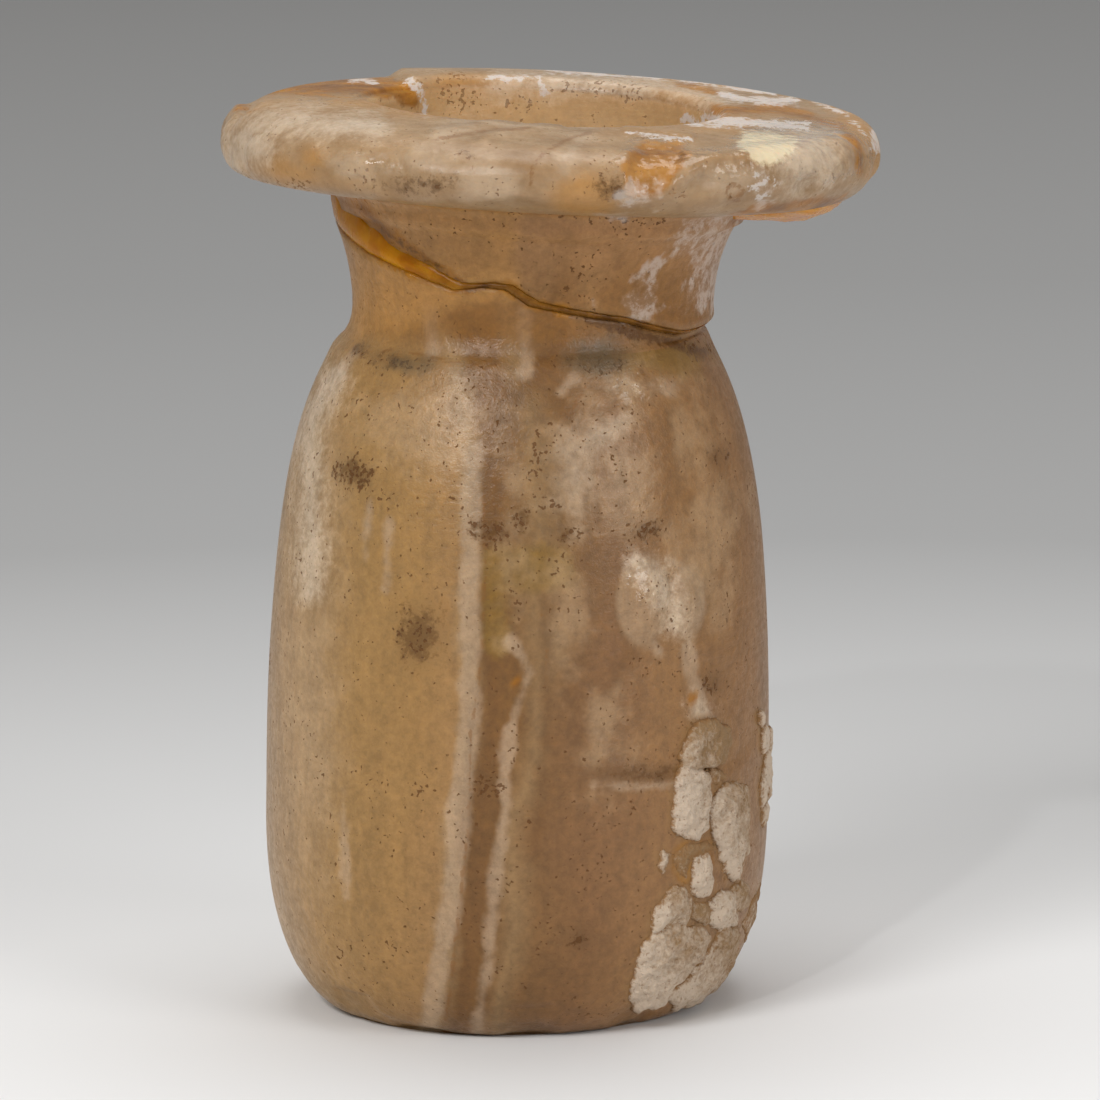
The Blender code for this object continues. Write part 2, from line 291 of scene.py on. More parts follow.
def break_height(angle):
    mean = (BREAK_LEFT + BREAK_RIGHT + BREAK_FRONT + BREAK_BACK) / 4
    across = (BREAK_RIGHT - BREAK_LEFT) / 2 * np.sin(angle)
    along = (BREAK_FRONT - BREAK_BACK) / 2 * np.cos(angle)
    twist = (BREAK_FRONT + BREAK_BACK - BREAK_LEFT - BREAK_RIGHT) / 4 * np.cos(2 * angle)
    degrees = (np.degrees(angle) + 90) % 360 - 90
    corners = np.array(BREAK_CORNERS)
    rise = np.interp(degrees, corners[:, 0], corners[:, 1]) * MM
    return BODY_HEIGHT + mean + across + along + twist + rise


def follow_break(r, z, angle):
    """Draws the neck's rings to the slanting line of the break."""
    line = break_height(angle)
    low_share = (z - BODY_HEIGHT) / (BREAK_MIDDLE - BREAK_GAP - BODY_HEIGHT)
    low = BODY_HEIGHT + low_share * (line - BREAK_GAP - BODY_HEIGHT)
    high_share = (NECK_END - z) / (NECK_END - BREAK_MIDDLE - BREAK_GAP)
    high = NECK_END - high_share * (NECK_END - line - BREAK_GAP)
    moved = np.where(z < BREAK_MIDDLE - BREAK_GAP, low, line + z - BREAK_MIDDLE)
    moved = np.where(z > BREAK_MIDDLE + BREAK_GAP, high, moved)
    return r - neck_radius(z) + neck_radius(moved), moved


def outer_side(r, z):
    """Tells the outer skin from the wall of the hollow."""
    inner = np.where(z > NECK_END, MOUTH_RADIUS, NECK_WALL_MIDDLE)
    return r > np.where(z < BODY_HEIGHT, body_radius(z) - BODY_WALL / 2, inner)


def worn_place(r, z, angle):
    """Real place of the plain turned shape's points, leaning, worn and broken as the solid is."""
    outside = outer_side(r, z)
    on_neck = outside & (z >= BODY_HEIGHT) & (z <= NECK_END)
    moved_r, moved_z = follow_break(r, z, angle)
    return leaning_place(np.where(on_neck, moved_r, r), np.where(on_neck, moved_z, z), angle, outside)


def leaning_place(r, z, angle, outside):
    """Real place of points whose rings already follow the break."""
    wear = FOOT_WEAR * np.maximum(0.0, np.cos(angle - FOOT_WEAR_ANGLE)) * smooth(1 - z / WIDEST_FROM)
    r = r - np.where(outside & (z > 0) & (z < BODY_HEIGHT), wear, 0.0)
    line = break_height(angle)
    blend = np.where(outside, BREAK_GAP, NECK_WALL)
    upper = smooth((z - line + blend) / (2 * blend))
    upper = np.where(z > NECK_TOP_HEIGHT, 1.0, np.where(z < BODY_HEIGHT, 0.0, upper))
    start = np.where(outside, line, BODY_HEIGHT)
    tilt = smooth((z - start) / (NECK_TOP_HEIGHT - start))
    on_rim = outside & (z > NECK_END)
    thinning = FRONT_LIFT * np.maximum(0.0, np.cos(angle)) * (HEIGHT - z) / RIM_HEIGHT
    z = z + np.where(on_rim, thinning * smooth((z - NECK_END) / RIM_FILLET), 0.0)
    at_edge = smooth((r - RIM_RADIUS + RIM_EDGE_WIDTH) / RIM_EDGE_WIDTH)
    z = z + EDGE_SKEW * at_edge * np.sin(angle)
    over_neck = np.where(z > NECK_END, smooth((r - NECK_TOP_RADIUS) / RIM_EDGE_WIDTH), 0.0)
    in_neck = smooth((z - BODY_HEIGHT + ROOT_BLEND) / (2 * ROOT_BLEND))
    x = r * np.sin(angle) + UPPER_SHIFT * upper + RIM_OFFSET * over_neck + NECK_OFFSET * in_neck
    y = -r * np.cos(angle)
    z = z + (y * math.tan(RIM_NOD) - x * math.tan(RIM_TILT)) * tilt
    return np.stack([x + z * math.tan(LEAN), y, z], axis=-1)


def eased(outline, middle, reach, rounds):
    """Rounds the corners of an outline near a height, drawing each point towards its neighbours."""
    for _ in range(rounds):
        before = list(outline)
        for i in range(1, len(outline) - 1):
            (r0, _), (r1, z1), (r2, _) = before[i - 1], before[i], before[i + 1]
            share = 0.5 * float(smooth((reach - abs(z1 - middle)) / reach)) * (r1 > NECK_WALL_MIDDLE)
            outline[i] = (r1 + share * ((r0 + r2) / 2 - r1), z1)
    return outline


def turned_jar():
    """The plain jar, spun from its outline."""
    outline = eased(foot_and_body() + neck(), BODY_HEIGHT, SHOULDER_EASE, EASE_ROUNDS) + rim() + hollow()
    bm = bmesh.new()
    verts = [bm.verts.new((0.0, -r, z)) for r, z in outline]
    edges = [bm.edges.new(pair) for pair in zip(verts, verts[1:])]
    bmesh.ops.spin(bm, geom=verts + edges, cent=(0, 0, 0), axis=(0, 0, 1), angle=2 * math.pi,
                   steps=SEGMENTS, use_merge=True)
    poles = [v for v in bm.verts if math.hypot(v.co.x, v.co.y) < 0.01 * MM]
    bmesh.ops.remove_doubles(bm, verts=poles, dist=0.01 * MM)
    bmesh.ops.recalc_face_normals(bm, faces=bm.faces)
    return bm


# Marks drawn on the photograph's frame


class Sheet:
    """The points of a mesh, with where each one shows on the photograph."""

    def __init__(self, mesh, points):
        self.mesh = mesh
        self.place(points)

    def place(self, points):
        self.points = points
        self.mesh.vertices.foreach_set("co", points.ravel())
        self.mesh.update()
        normals = np.zeros(points.size)
        self.mesh.vertex_normals.foreach_get("vector", normals)
        self.normals = normals.reshape(-1, 3)
        right, up, forward = (np.array(axis) for axis in camera_axes())
        away = points - np.array(camera_place())
        depth = away @ forward
        self.px = FRAME_PIXELS / 2 + FOCAL_PIXELS * (away @ right) / depth
        self.py = FRAME_PIXELS / 2 - FOCAL_PIXELS * (away @ up) / depth
        self.facing = -np.sum(self.normals * away, axis=1) / np.linalg.norm(away, axis=1)

    def press(self, depth):
        """Moves each point along its own normal, outwards where depth is positive."""
        self.place(self.points + self.normals * depth[:, None])


class Skin(Sheet):
    """The jar's points, with the part of the jar that each one is on."""

    def __init__(self, mesh):
        plain = read_points(mesh)
        self.r = np.hypot(plain[:, 0], plain[:, 1])
        self.z = plain[:, 2]
        angle = np.arctan2(plain[:, 0], -plain[:, 1])
        crowd = FRONT_CROWDING * (np.sin(angle - FRONT_CROWDING_ANGLE) + math.sin(FRONT_CROWDING_ANGLE))
        self.angle = (angle - crowd + math.pi) % (2 * math.pi) - math.pi
        self.outside = outer_side(self.r, self.z)
        on_top = (self.z > HEIGHT - RIM_TOP_FALL - 1.2 * MM) & (self.r < RIM_RADIUS - 1.8 * MM)
        self.body = self.outside & (self.z < BODY_HEIGHT)
        self.neck = self.outside & (self.z >= BODY_HEIGHT) & (self.z <= NECK_TOP_HEIGHT)
        self.edge = self.outside & (self.z > NECK_TOP_HEIGHT - 1 * MM) & ~on_top
        self.top = self.outside & on_top
        self.bore = ~self.outside & (self.z > BODY_HEIGHT)
        self.stem = self.body | self.neck
        self.front_rim = self.edge | self.top
        self.mouth = self.top | self.bore
        self.zones = {
            "body": self.body, "stem": self.stem, "rim": self.front_rim, "mouth": self.mouth,
            "stem_and_edge": self.stem | self.edge, "rim_and_neck": self.front_rim | self.neck,
            "mouth_and_rim": self.mouth | self.front_rim,
        }
        super().__init__(mesh, worn_place(self.r, self.z, self.angle))


def read_points(mesh):
    points = np.zeros(len(mesh.vertices) * 3)
    mesh.vertices.foreach_get("co", points)
    return points.reshape(-1, 3)


def stroke_distance(x, y, path):
    """Distance in pixels from points to a path of straight stretches."""
    nearest = np.full(x.shape, 1e9)
    for (x0, y0), (x1, y1) in zip(path, path[1:]):
        dx, dy = x1 - x0, y1 - y0
        t = np.clip(((x - x0) * dx + (y - y0) * dy) / (dx * dx + dy * dy), 0.0, 1.0)
        nearest = np.minimum(nearest, np.hypot(x - x0 - t * dx, y - y0 - t * dy))
    return nearest


def inside_area(x, y, corners):
    """Tells which points lie inside a drawn outline."""
    odd = np.zeros(x.shape, bool)
    for (x0, y0), (x1, y1) in zip(corners, corners[1:] + corners[:1]):
        crosses = (y0 > y) != (y1 > y)
        odd ^= crosses & (x < (x1 - x0) * (y - y0) / (y1 - y0 if y1 != y0 else 1) + x0)
    return odd


# Depth in millimetres of the points that no mark reaches
FAR = -20.0

# Marks end where the surface turns away from the camera, and thin out before that
LEAST_FACING = -0.06
THINNING_WIDTH = 0.09
THINNING_DEPTH = 15


def marks(sheet, zone, strokes=(), ovals=(), areas=(), least_facing=LEAST_FACING):
    """How deep each point lies inside drawn marks, in millimetres, negative outside.

    A stroke is its half width and its points, an oval its middle, two radii and turn, and an area its
    corners, all in pixels of the photograph. Points that face the camera less than the least are left out.
    """
    depth = np.full(sheet.px.shape, FAR)
    picked = np.nonzero(zone & (sheet.facing > least_facing))[0]
    x, y = sheet.px[picked], sheet.py[picked]
    best = np.full(x.shape, FAR)
    for half_width, *path in strokes:
        best = np.maximum(best, (half_width - stroke_distance(x, y, path)) / PIXELS_PER_MM)
    for cx, cy, rx, ry, turn in ovals:
        c, s = math.cos(math.radians(turn)), math.sin(math.radians(turn))
        u = ((x - cx) * c + (y - cy) * s) / rx
        v = ((y - cy) * c - (x - cx) * s) / ry
        best = np.maximum(best, (1 - np.hypot(u, v)) * min(rx, ry) / PIXELS_PER_MM)
    for corners in areas:
        edge = stroke_distance(x, y, corners + corners[:1]) / PIXELS_PER_MM
        best = np.maximum(best, np.where(inside_area(x, y, corners), edge, -edge))
    turned_away = np.maximum(0.0, least_facing + THINNING_WIDTH - sheet.facing[picked])
    depth[picked] = best - turned_away * THINNING_DEPTH
    return depth


def spots(sheet, zone, places):
    """How deep each point lies inside round spots, given by angle, height and radius, in millimetres."""
    depth = np.full(sheet.px.shape, FAR)
    picked = np.nonzero(zone)[0]
    here = sheet.points[picked] / MM
    for degrees, height, radius in places:
        angle = math.radians(degrees)
        radius_there = body_radius if height * MM < BODY_HEIGHT else neck_radius
        r = float(radius_there(height * MM)) / MM
        middle = np.array([r * math.sin(angle) + height * math.tan(LEAN), -r * math.cos(angle), height])
        depth[picked] = np.maximum(depth[picked], radius - np.linalg.norm(here - middle, axis=1))
    return depth


def rough(points, scale, seed, octaves=3):
    """Uneven lumps over the points, from about -1 to 1."""
    total = np.zeros(len(points))
    offset = Vector((seed, seed * 1.7, -seed * 2.3))
    for octave in range(octaves):
        size = scale * 2**octave
        total += np.array([noise.noise(Vector(p) * size + offset) for p in points]) / 2**octave
    return total


# Lines, areas and ovals of the photograph that more than one form or finish follows
SEAM = (
    (356, 204), (372, 222), (389, 240), (417, 257), (442, 277), (470, 289), (492, 285), (509, 288),
    (526, 302), (542, 307), (562, 311), (598, 321), (639, 329), (681, 343), (703, 352),
)
FIRST_VEIN = (
    (474, 452), (473, 500), (470, 570), (471, 650), (468, 735), (460, 790), (456, 850), (449, 910),
    (438, 970), (430, 1030),
)
SECOND_VEIN = (
    (512, 640), (520, 655), (531, 672), (520, 698), (510, 732), (504, 775), (506, 810), (500, 840),
    (495, 880), (491, 930), (487, 970), (477, 1030),
)
AMBER_WEDGE = (
    (340, 198), (360, 203), (376, 220), (403, 243), (431, 262), (452, 273), (472, 286), (467, 293),
    (453, 291), (430, 282), (401, 269), (368, 248), (351, 222), (338, 215),
)
CHIPPED_TOP = (
    (236, 118), (238, 98), (262, 66), (310, 58), (368, 58), (392, 64), (412, 76), (424, 100),
    (422, 112), (400, 104), (353, 97), (285, 96), (262, 99),
)
AMBER_TOP = (
    (254, 97), (262, 84), (280, 72), (305, 68), (345, 70), (380, 76), (404, 84), (418, 96),
    (421, 111), (400, 102), (390, 98), (353, 94), (317, 94), (285, 93),
)
RUST_HOLLOW = (
    (629, 150), (643, 143), (679, 145), (689, 155), (679, 169), (665, 190), (650, 198), (638, 196),
    (629, 188), (626, 169),
)
CREAM_PATCH = (
    (741, 133), (770, 132), (798, 138), (793, 150), (781, 162), (765, 167), (750, 157), (739, 148),
)
RESIN_LUMP = ((729, 213), (750, 206), (805, 198), (850, 194), (834, 214), (820, 226), (729, 230))
NODULES = ((643, 600, 27, 46, 0), (688, 602, 18, 38, 0))

# Low forms of the skin, and how far each stands out or lies in
PANEL = ((62, (655, 712), (700, 716)),)
PANEL_DEPTH = 0.2 * MM
STEP = ((4, (592, 775), (640, 779), (682, 774)),)
STEP_DEPTH = 0.1 * MM
RIDGES = (
    (5, (688, 172), (698, 164), (715, 157), (746, 158)), (4, (436, 134), (491, 124), (555, 119)),
    (3.5, (484, 139), (520, 129), (560, 124)), (4, (627, 131), (655, 135), (689, 137)),
)
RIDGE_HEIGHT = 0.3 * MM
SWELLINGS = ((765, 150, 34, 20, 0), (500, 180, 60, 26, 0), (820, 150, 44, 36, 0))
SWELLING_HEIGHT = 0.2 * MM
RING = ((734, 192, 9, 8, 0),)
RING_HEIGHT = 0.2 * MM
NODULE_HEIGHT = 0.8 * MM
HOLLOW_DEPTH = 0.7 * MM
CHIPPED_TOP_DEPTH = 0.85 * MM
WAVE_HEIGHT = 0.09 * MM
EDGE_CHIP_DEPTH = 0.4 * MM
EDGE_CHIP_REACH = 2.5 * MM
FOOT_CHIP_DEPTH = 0.3 * MM
FOOT_CHIP_REACH = 4 * MM

# Where each kind of stone, film, resin and dirt lies, and where highlights and light are painted: the zone of
# the jar, the kind of mark, the marks, and, where it is given, how many millimetres wider than drawn they run
FINISHES = {
    "pale": (
        ("stem", "strokes", (
            (10, *FIRST_VEIN), (4.8, *SECOND_VEIN), (3.5, (388, 522), (386, 588)),
            (3, (343, 790), (347, 900)), (3, (398, 306), (397, 330)), (7, (428, 310), (432, 352)),
            (9, (524, 312), (526, 372)), (6, (296, 440), (320, 395), (352, 355)),
            (2.5, (370, 500), (366, 560)), (5, (575, 378), (560, 392)),
            (2, (592, 784), (640, 787), (672, 784)), (6, (688, 650), (698, 710)),
            (3, (655, 645), (660, 652)), (2.5, (660, 556), (680, 566), (692, 578)))),
    ),
    "cloud": (
        ("body", "spots", (
            (118, 52, 5), (128, 44, 7), (150, 22, 6), (205, 40, 8), (222, 50, 5), (246, 26, 7),
            (262, 55, 4), (100, 30, 4))),
        ("stem", "ovals", (
            (572, 478, 26, 50, 0), (606, 430, 28, 16, -20), (617, 384, 36, 20, -10),
            (626, 484, 28, 38, 0), (712, 514, 28, 26, 0), (514, 500, 9, 60, 0), (310, 500, 28, 110, 0),
            (420, 425, 50, 36, 0), (690, 440, 14, 40, 0), (312, 700, 22, 120, 0), (566, 630, 18, 50, 0),
            (700, 560, 30, 60, 0), (535, 262, 24, 44, 0), (588, 270, 14, 40, 0), (600, 730, 20, 40, 0))),
    ),
    "dusk": (
        ("stem", "strokes", (
            (4, (484, 470), (487, 540), (484, 650), (474, 720), (470, 800), (466, 880), (452, 980),
             (446, 1030)),
            (13, (572, 326), (545, 362), (512, 402), (498, 450), (493, 520), (491, 600), (488, 700),
             (482, 800)),
            (8, (480, 830), (474, 900), (462, 1010)),
            (5, (620, 600), (629, 650), (608, 695), (598, 731), (598, 770)), (5, (598, 772), (670, 777)),
            (4, (600, 440), (593, 473), (600, 520), (640, 530), (662, 528)), (7, (668, 410), (668, 530)),
            (6, (545, 600), (548, 700), (535, 860)), (9, (492, 556), (493, 640)),
            (10, (571, 222), (574, 300)))),
    ),
    "olive": (
        ("body", "ovals", ((530, 568, 40, 24, 0), (664, 354, 44, 20, 8), (610, 330, 26, 10, 15))),
        ("body", "areas", (((481, 552), (506, 552), (508, 640), (496, 660), (480, 640)),)),
    ),
    "blush": (
        ("body", "ovals", ((650, 860, 90, 110, 0), (590, 700, 60, 120, 0))),
    ),
    "specks": (
        ("stem", "spots", (
            (112, 38, 2.5), (140, 58, 3.5), (146, 54, 2), (196, 62, 1.5), (228, 18, 3), (235, 15, 2),
            (252, 46, 1.5), (276, 34, 1.5), (160, 12, 2), (120, 74, 2), (215, 76, 2.5))),
        ("stem", "ovals", (
            (352, 474, 26, 18, 30), (378, 496, 18, 9, 10), (422, 636, 14, 24, 10), (490, 530, 22, 15, 0),
            (520, 518, 9, 12, 0), (551, 506, 11, 6, 0), (564, 533, 8, 6, 0), (596, 370, 10, 4, 0),
            (490, 785, 12, 14, 0), (644, 533, 8, 5, -30), (716, 457, 5, 5, 0), (549, 610, 6, 6, 0),
            (713, 682, 10, 12, 0), (536, 460, 12, 20, 0), (416, 785, 6, 9, 0), (580, 938, 9, 9, 0),
            (613, 367, 5, 4, 0), (566, 290, 5, 5, 0), (395, 362, 26, 6, 10), (520, 600, 8, 12, 0),
            (576, 276, 5, 4, 0), (700, 345, 14, 6, 0), (650, 220, 26, 5, 0), (560, 216, 30, 4, 0))),
        ("rim", "ovals", (
            (612, 190, 9, 8, 0), (408, 186, 14, 5, 0), (440, 184, 8, 4, 0), (276, 90, 10, 3, 0),
            (300, 184, 30, 3, 8))),
        ("mouth", "ovals", (
            (467, 99, 8, 7, 0), (448, 93, 6, 5, 0), (459, 76, 5, 3, 0), (520, 102, 9, 5, 0),
            (618, 95, 30, 10, 0), (585, 90, 20, 8, 0))),
    ),
    "dirt": (
        ("stem", "strokes", (
            (1.6, *SEAM[4:12]), (6, (590, 318), (612, 326), (639, 333)),
            (4, (639, 333), (681, 347), (703, 355)),
            (1.2, (362, 208), (389, 234), (417, 252), (442, 270)))),
        ("rim", "ovals", ((683, 156, 4, 4, 0),)),
        ("rim", "strokes", ((1.2, (462, 152), (472, 158)),)),
    ),
    "amber": (
        ("body", "areas", (
            ((674, 847), (689, 841), (709, 837), (715, 845), (713, 857), (701, 857), (693, 861),
             (689, 878), (680, 884), (672, 874), (672, 857)),)),
        ("stem_and_edge", "areas", (AMBER_WEDGE,), 0.3),
        ("stem_and_edge", "strokes", ((3, *SEAM[5:11]),), 0.3),
        ("rim_and_neck", "areas", (RESIN_LUMP,)),
        ("rim", "ovals", ((241, 107, 8, 5, 0),)),
        ("rim", "strokes", (
            (5, (715, 111), (774, 108), (810, 117)), (3, (810, 117), (841, 126), (858, 144), (861, 172)))),
        ("mouth_and_rim", "areas", (AMBER_TOP,)),
        ("mouth", "strokes", ((3, (676, 82), (700, 86), (716, 93)),)),
        ("body", "ovals", ((517, 682, 5, 7, 20), (692, 698, 5, 6, 0), (694, 858, 22, 18, 0))),
    ),
    # Yellow-brown stone; on the neck it also reaches up close under the rim as painted light that lifts the
    # rim's shadow
    "honey_and_painted_light": (
        ("stem", "areas", (
            ((338, 196), (372, 196), (410, 200), (450, 202), (518, 208), (518, 296), (470, 304),
             (430, 304), (385, 330), (350, 350), (335, 300)),)),
        ("rim", "ovals", (
            (315, 158, 14, 14, 0), (300, 176, 50, 12, 14), (585, 198, 24, 16, 0), (380, 104, 60, 8, 4),
            (690, 118, 40, 8, 0))),
        ("rim", "strokes", ((8, (838, 106), (862, 128), (873, 150), (868, 178)),)),
        ("mouth", "ovals", ((480, 96, 50, 18, 0), (684, 92, 30, 12, 0))),
    ),
    "crack": (
        ("rim", "strokes", (
            (1.5, (531, 184), (533, 166), (545, 152), (566, 140), (590, 132)),
            (1.3, (456, 152), (470, 158), (474, 172)), (1.4, (436, 139), (491, 130), (530, 128)),
            (1.2, (640, 176), (655, 190), (690, 196)),
            (2.2, (726, 190), (730, 184), (738, 184), (743, 191), (738, 200), (730, 199), (726, 190)))),
        ("stem", "strokes", (
            (1.2, (483, 470), (485, 560), (482, 660), (470, 740), (468, 830), (458, 920), (446, 1020)),
            (1.2, (598, 772), (640, 776), (674, 772)), (1.3, (704, 690), (712, 704), (716, 716)),
            (1.2, (381, 352), (400, 348), (431, 358), (470, 366)), (1.1, (690, 300), (706, 328)),
            (1.1, (540, 600), (548, 640), (545, 690)), (1.1, (620, 366), (590, 380), (566, 420)))),
    ),
    "rust": (("rim", "areas", (RUST_HOLLOW,)),),
    "chalk": (
        ("stem", "areas", (
            ((676, 216), (735, 212), (722, 270), (712, 300), (706, 316), (682, 314), (690, 270), (664, 250)),
            ((608, 300), (628, 284), (660, 262), (664, 282), (668, 308), (640, 318), (612, 312)))),
        ("rim", "ovals", ((767, 186, 14, 18, 0), (636, 202, 18, 9, -20))),
    ),
    "milk": (
        ("mouth_and_rim", "strokes", (
            (2.2, (350, 79), (362, 79), (374, 83)), (2.6, (408, 80), (417, 87), (423, 98), (426, 113)),
            (3.4, (722, 95), (741, 99), (774, 101), (798, 100)), (1.6, (648, 118), (672, 118)),
            (5, (684, 119), (712, 120), (740, 122)), (3.4, (740, 122), (774, 125), (808, 125)),
            (2.4, (538, 77), (546, 98)), (1.3, (810, 98), (846, 115), (867, 134), (878, 150)),
            (1.6, (488, 78), (540, 77)), (3.5, (550, 70), (640, 74), (727, 83), (774, 93)))),
        ("rim", "strokes", (
            (4.5, (874, 134), (876, 148)), (1.4, (627, 132), (655, 136), (692, 139)),
            (3, (755, 176), (766, 179)), (3, (750, 188), (762, 186)), (2.5, (757, 197), (768, 196)),
            (2.5, (773, 176), (777, 186)))),
    ),
    # Pale stone, and painted highlights: the crescents on the two nodules, the arc along the rim's left tip
    # and the left of the shoulder
    "pallor_and_highlight": (
        ("body", "strokes", (
            (10, (310, 440), (312, 590)), (9, (640, 566), (652, 571), (661, 583), (664, 596)),
            (5, (678, 606), (676, 628)), (3.5, (698, 702), (706, 714)),
            (8, (306, 450), (320, 405), (338, 375)))),
        ("rim", "strokes", (
            (18, (234, 160), (254, 148)), (10, (236, 140), (262, 124), (310, 120)),
            (7, (300, 128), (377, 126)))),
        ("mouth", "strokes", ((10, (500, 84), (640, 84), (720, 96)),)),
        ("rim", "ovals", ((794, 188, 12, 10, 0), (806, 158, 30, 24, 0))),
    ),
    "dome": (("body", "ovals", NODULES),),
    "cream": (("rim", "areas", (CREAM_PATCH,)),),
    # Soft pale haze, and painted highlights along the front of the rim's left and across the right of the
    # shoulder
    "haze_and_highlight": (
        ("body", "ovals", ((574, 476, 15, 38, 0),)),
        ("body", "strokes", ((6, (590, 440), (618, 424)), (5, (612, 384), (668, 388)))),
        ("rim", "ovals", (
            (492, 182, 36, 22, 0), (430, 160, 24, 12, 0), (730, 178, 36, 14, 0), (806, 156, 40, 30, 0))),
        ("rim", "strokes", (
            (6, (320, 129), (377, 124)), (6, (334, 162), (362, 163), (391, 172)),
            (3, (436, 134), (491, 124), (555, 119)), (5, (585, 130), (560, 170)))),
    ),
    "grime": (
        ("stem", "spots", ((141, 57, 1.2), (230, 17, 1.5), (165, 65, 2.5), (185, 66, 2))),
        ("stem", "strokes", (
            (3, (600, 324), (640, 334), (704, 350)), (2.5, (600, 772), (660, 776), (672, 772)),
            (3, (356, 350), (400, 362)))),
        ("stem", "ovals", (
            (352, 472, 16, 10, 30), (422, 636, 18, 28, 10), (490, 530, 15, 9, 0), (520, 518, 6, 9, 0),
            (580, 938, 7, 7, 0), (644, 533, 6, 3.5, -30), (716, 457, 4, 4, 0), (564, 533, 5, 4, 0),
            (713, 682, 7, 8, 0), (598, 358, 18, 9, 0))),
        ("mouth_and_rim", "areas", (AMBER_TOP,), -0.3),
        ("rim", "ovals", ((612, 190, 10, 9, 0), (404, 186, 12, 6, 0), (436, 184, 10, 5, 0))),
    ),
    "grey": (("stem", "ovals", ((410, 362, 26, 10, 10), (599, 357, 26, 17, 0))),),
    "shine": (
        ("rim", "ovals", (
            (655, 165, 36, 30, 0), (800, 150, 70, 30, 0), (715, 165, 34, 14, 0), (362, 164, 32, 8, 8))),
        ("stem", "ovals", ((640, 384, 26, 14, 0), (648, 585, 20, 20, 0), (435, 270, 40, 8, 10))),
    ),
}

# Lumps of mineral crust on the lower right: height in millimetres, how white the lump is, and its corners
# on the photograph
CRUST_LUMPS = (
    (0.75, 0.22, (689, 728), (703, 719), (717, 720), (728, 728), (731, 744), (726, 761), (713, 768),
     (698, 768), (683, 768), (680, 757), (683, 742)),
    (0.85, 0.9, (681, 764), (698, 766), (709, 777), (710, 796), (708, 824), (698, 841), (685, 841),
     (672, 831), (670, 812), (674, 787), (677, 775)),
    (0.5, 0.1, (709, 767), (722, 769), (726, 779), (717, 787), (709, 783)),
    (0.85, 0.6, (713, 794), (726, 783), (740, 780), (747, 787), (750, 816), (748, 845), (744, 870),
     (736, 882), (724, 874), (715, 853), (710, 824), (709, 804)),
    (0.3, -0.1, (674, 852), (690, 844), (708, 841), (712, 850), (700, 856), (690, 866), (685, 878),
     (676, 877)),
    (0.55, 0.7, (658, 853), (664, 848), (672, 853), (671, 868), (666, 874), (659, 868)),
    (0.7, 0.9, (694, 857), (707, 853), (713, 861), (713, 882), (709, 896), (700, 900), (691, 896),
     (690, 882)),
    (0.55, 0.15, (691, 901), (709, 903), (713, 923), (703, 929), (691, 919)),
    (0.8, 0.8, (709, 903), (717, 892), (732, 890), (736, 907), (734, 923), (717, 931), (708, 923)),
    (0.7, 0.3, (730, 888), (740, 880), (748, 884), (747, 903), (738, 911), (732, 903)),
    (0.65, 0.6, (652, 907), (666, 890), (683, 886), (691, 896), (692, 919), (687, 929), (672, 925),
     (658, 929), (650, 933), (648, 919)),
    (0.75, 0.7, (650, 931), (672, 923), (693, 927), (709, 931), (705, 956), (691, 970), (674, 985),
     (666, 1001), (635, 1014), (627, 1005), (629, 989), (639, 956), (643, 940)),
    (0.6, 0.55, (713, 931), (726, 925), (738, 925), (741, 940), (734, 960), (719, 985), (699, 1003),
     (670, 1010), (664, 999), (676, 985), (693, 970), (707, 954)),
    (0.35, 0.3, (741, 925), (752, 900), (760, 880), (757, 915), (746, 945)),
)
CRUST_EDGE = 1.5

# Small lumps further round the side: angle, height and radius in millimetres, and how white the lump is
SIDE_LUMPS = (
    (75, 28.8, 1.2, 1.0), (77, 26.6, 1.9, 1.2), (80, 23.6, 2.2, 1.1), (76, 21.6, 1.7, 1.2),
    (79, 18.8, 1.5, 0.9), (88, 25.4, 1.7, 0.8), (91, 21.6, 2.3, 0.9), (99, 24.0, 1.2, 0.5),
)
SIDE_LUMP_HEIGHT = 0.4


def crust_height(sheet, zone):
    """Height of the crust over the stone in millimetres, how deep inside a lump, and how white it is."""
    height = np.zeros(sheet.px.shape)
    inside = np.full(sheet.px.shape, FAR)
    white = np.zeros(sheet.px.shape)
    for top, whiteness, *corners in CRUST_LUMPS:
        depth = marks(sheet, zone, areas=(corners,))
        rise = np.clip(depth / CRUST_EDGE, 0.0, 1.0)
        dome = top * rise**0.7 * (1.7 - 0.7 * rise)
        left = (np.mean([x for x, _ in corners]) - sheet.px) / 20
        low = (sheet.py - np.mean([y for _, y in corners])) / 40
        white = np.where(dome > height, whiteness + 0.25 * np.clip(left + low, -1.2, 1.2), white)
        height = np.maximum(height, dome)
        inside = np.maximum(inside, depth)
    ragged = 0.7 * rough(sheet.points, 420.0, 91.0, 2)
    for degrees, level, radius, whiteness in SIDE_LUMPS:
        depth = spots(sheet, zone, ((degrees, level, radius),)) + ragged
        dome = SIDE_LUMP_HEIGHT * smooth(depth / 0.8)
        white = np.where(dome > height, whiteness, white)
        height = np.maximum(height, dome)
        inside = np.maximum(inside, depth)
    return height, inside, white


